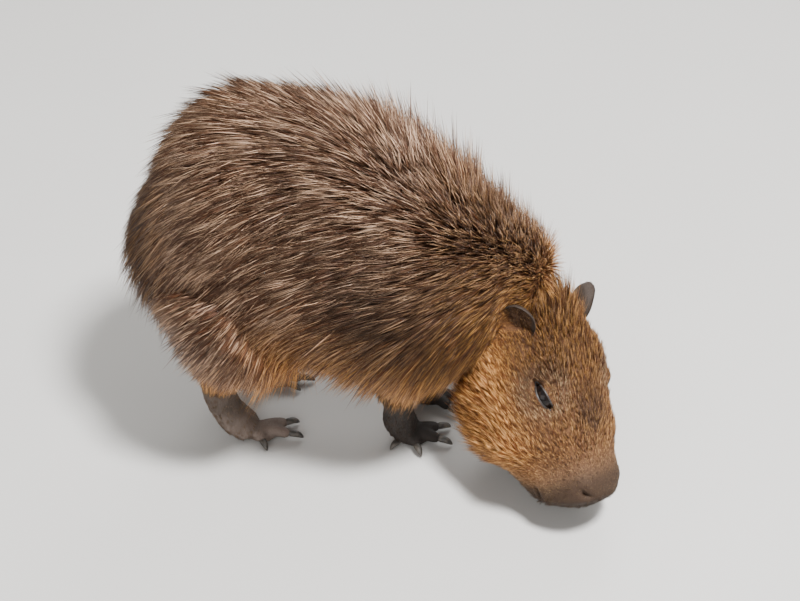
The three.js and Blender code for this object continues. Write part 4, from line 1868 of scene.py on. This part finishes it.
    def mesh(
        self,
        name: str,
        lines: Array,
        across: Array,
        roots: dict[str, Array],
        chance: np.random.Generator,
    ) -> Piece:
        """Makes one piece of tufts, each a closed tapered body of three sides.

        Args:
            name: The piece's name.
            lines: The tufts' middle lines.
            across: The way across each.
            roots: Their roots' values.
            chance: Where random numbers come from.

        Returns:
            The piece, with its attributes and its unwrap.
        """
        count, rings = lines.shape[0], lines.shape[1] - 1
        each = rings * 3 + 1
        runs = unit(lines[:, 1:] - lines[:, :-1])
        aside = np.repeat(across[:, None], rings, 1)
        lifts = np.cross(aside, runs)
        tint, marks, wide = self.shades(roots, chance)
        half = (wide[:, None] * self.taper)[..., None] / 2
        sides = []
        for turn in (1 / 2, 7 / 6, 11 / 6):
            sine, cosine = math.sin(turn * math.pi), math.cos(turn * math.pi)
            sides.append(lines[:, :-1] + aside * half * cosine + lifts * half * self.flat * sine)
        ring = np.stack(sides, 2).reshape(count, rings * 3, 3)
        points = np.concatenate([ring, lines[:, -1:]], 1)
        threes = np.array(self.faces(rings))[None] + np.arange(count)[:, None, None] * each
        threes = threes.reshape(-1, 3)
        mesh = bpy.data.meshes.new(name)
        mesh.vertices.add(count * each)
        mesh.vertices.foreach_set("co", points.ravel())
        mesh.loops.add(threes.size)
        mesh.loops.foreach_set("vertex_index", threes.ravel())
        mesh.polygons.add(len(threes))
        mesh.polygons.foreach_set("loop_start", np.arange(len(threes)) * 3)
        mesh.update(calc_edges=True)
        mesh.validate()
        piece = linked(name, mesh)
        tips = np.append(np.repeat(self.shares[:rings], 3), 1.0)
        self.kept(piece, "tip", np.tile(tips, count))
        self.kept(piece, "tint", np.repeat(tint, each))
        self.kept(piece, "marks", np.repeat(marks, each, 0))
        low, high = roots["spot"].min(0), roots["spot"].max(0)
        spread = (roots["spot"] - low) / np.maximum(high - low, 1e-6) * 0.99 + 0.005
        patch = np.stack([np.append(np.tile([-0.5, 0.0, 0.5], rings), 0.0), tips - 0.5], -1)
        flat = (spread[:, None] + patch * self.patch).reshape(-1, 2)
        layer = mesh.uv_layers.new(name="OFBake")
        layer.data.foreach_set("uv", flat[threes.ravel()].astype(np.float32).ravel())
        mesh.shade_smooth()
        return piece

    def groups(self, roots: dict[str, Array]) -> dict[str, Array]:
        """Shares the tufts out over pieces that each stay small enough.

        Args:
            roots: The tufts' roots.

        Returns:
            For each piece's name, True for each tuft in it.
        """
        (turn, share), zone, x = roots["spot"].T, roots["zone"], roots["at"][:, 0]
        left = (turn < 0.25) | (turn > 0.75)
        legs = (zone == Zone.THIGH.value) | (zone == Zone.SHANK.value)
        made = {
            "coat_ears": zone == Zone.EAR.value,
            "coat_hind_legs": legs & (x < 0),
            "coat_fore_legs": legs & (x > 0),
        }
        for kind, part, bands in (("body", Zone.TRUNK, 4), ("head", Zone.HEAD, 2)):
            inside = zone == part.value
            cuts = np.quantile(share[inside], np.arange(1, bands) / bands)
            band = np.searchsorted(cuts, share)
            for index in range(bands):
                here = inside & (band == index)
                made[f"coat_{kind}_{index + 1}_left"] = here & left
                made[f"coat_{kind}_{index + 1}_right"] = here & ~left
        return made

    def made(self) -> list[Piece]:
        """Marks the skin and grows the coat.

        Returns:
            All pieces of the coat.
        """
        chance = np.random.default_rng(self.seed)
        fields = self.fields()
        self.kept(self.skin, "marks", fields.marks)
        self.kept(self.skin, "bare", fields.values[:, 4])
        # The dark mark, with its painted shade on the upper rump and the fore shanks, goes to the
        # skin as well.
        self.kept(self.skin, "dark", fields.marks[:, 1])
        roots = self.roots(fields, chance)
        keep = self.clear(roots)
        roots = {name: rows[keep] for name, rows in roots.items()}
        lines, across = self.strands(roots, chance)
        for _ in range(3):
            met = self.at_ears(lines, roots)
            lines[met] = lines[met, :1] + (lines[met] - lines[met, :1]) * 0.65
        made = []
        for name, inside in self.groups(roots).items():
            part = {key: rows[inside] for key, rows in roots.items()}
            made.append(self.mesh(name, lines[inside], across[inside], part, chance))
        return made


@dataclass
class Studio:
    """The floor, the lights and the camera."""

    room: Room
    aim: tuple = (40, 248.8, 0)
    azimuth: float = 10
    elevation: float = 40
    far: float = 2300
    lens: float = 75
    lit: tuple = (0, 0, 0.25)
    lamps: tuple = (
        ("key", (1.1, -0.8, 3.2), 0.55, 392),
        ("fill", (-0.6, -3.2, 2.0), 2.6, 62),
        ("rim", (0.2, 3.0, 2.8), 1.8, 90),
    )
    sky: Colour = tone(1.0, 0.98, 0.95)
    sky_strength: float = 0.68

    def floor(self) -> None:
        """A wide plain floor, not part of the object."""
        choose()
        bpy.ops.mesh.primitive_plane_add(size=30)
        floor = bpy.context.object
        floor.name = "floor"
        floor.data.materials.append(FloorFinish().material())
        floor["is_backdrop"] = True

    def camera(self) -> None:
        """The camera at the photograph's angle."""
        azimuth, elevation = math.radians(self.azimuth), math.radians(self.elevation)
        flat = math.cos(elevation)
        back = np.array([math.sin(azimuth) * flat, -math.cos(azimuth) * flat, math.sin(elevation)])
        data = bpy.data.cameras.new("camera")
        data.lens, data.sensor_width = self.lens, 36
        camera = linked("camera", data)
        camera.location = Vector(self.room.metres(np.array(self.aim, float) + back * self.far))
        camera.rotation_mode = "QUATERNION"
        camera.rotation_quaternion = Vector(-back).to_track_quat("-Z", "Y")
        bpy.context.scene.camera = camera

    def lights(self) -> None:
        """Soft studio light: lamps that face the model, by place, side and power, and a sky."""
        for name, spot, size, power in self.lamps:
            data = bpy.data.lights.new(name, "AREA")
            data.size, data.energy = size, power
            lamp = linked(name, data)
            lamp.location = spot
            lamp.rotation_mode = "QUATERNION"
            lamp.rotation_quaternion = (Vector(self.lit) - Vector(spot)).to_track_quat("-Z", "Y")
        world = bpy.data.worlds.new("studio")
        world.use_nodes = True
        sky = world.node_tree.nodes["Background"]
        sky.inputs["Color"].default_value = self.sky
        sky.inputs["Strength"].default_value = self.sky_strength
        bpy.context.scene.world = world


@dataclass
class Capybara:
    """The whole animal."""

    frame: dict
    trunk: Trunk = field(default_factory=Trunk)
    head: Head = field(default_factory=Head)
    eye: Eye = field(default_factory=Eye)
    ear: EarShape = field(default_factory=EarShape)

    def settle(self, piece: Piece, room: Room, finish: bpy.types.Material, slot: str) -> None:
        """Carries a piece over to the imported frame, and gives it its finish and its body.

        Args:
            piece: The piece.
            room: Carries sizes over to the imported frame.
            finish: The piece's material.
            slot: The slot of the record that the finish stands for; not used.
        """
        reshape(piece, room.metres(read(piece)))
        piece.data.materials.clear()
        piece.data.materials.append(finish)
        choose(piece)
        bpy.ops.object.shade_smooth()
        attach(piece, BODY)
        log.info("%s: %d faces", piece.name, len(piece.data.polygons))

    def built(self, room: Room) -> None:
        """Builds every piece.

        Args:
            room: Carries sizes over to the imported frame.
        """
        names = sorted(self.frame["nodes"])
        skin, body = Skin(self.trunk, self.head, self.eye, self.ear).made()
        coat = Coat(self.trunk, self.head)
        tufts = Hair(coat, self.eye, self.ear, skin, body, room.low, room.high).made()
        balls, edges = Eyes(self.head, self.eye).made()
        claws = Claws().made()
        self.settle(skin, room, SkinFinish().material(), "bare_skin")
        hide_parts(*[n for n in names if not n.startswith(("claw_", "eye_"))])
        hair = CoatFinish().material()
        for piece in tufts:
            on_face = piece.name.startswith(("coat_head", "coat_ears"))
            self.settle(piece, room, hair, "face_fur" if on_face else "coat")
        self.settle(balls, room, EyeFinish().material(), "eye")
        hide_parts(*[n for n in names if n.startswith("eye_")])
        self.settle(edges, room, LidFinish().material(), "bare_skin")
        self.settle(claws, room, HornFinish().material(), "claw")
        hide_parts(*[n for n in names if n.startswith("claw_")])


def main() -> None:
    """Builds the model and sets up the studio."""
    logging.basicConfig(level=logging.INFO, format="%(message)s")
    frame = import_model()
    choose()
    animal = Capybara(frame)
    room = Room(animal.head, animal.eye)
    room.settle()
    animal.built(room)
    studio = Studio(room)
    studio.floor()
    studio.camera()
    studio.lights()


if __name__ == "__main__":
    main()
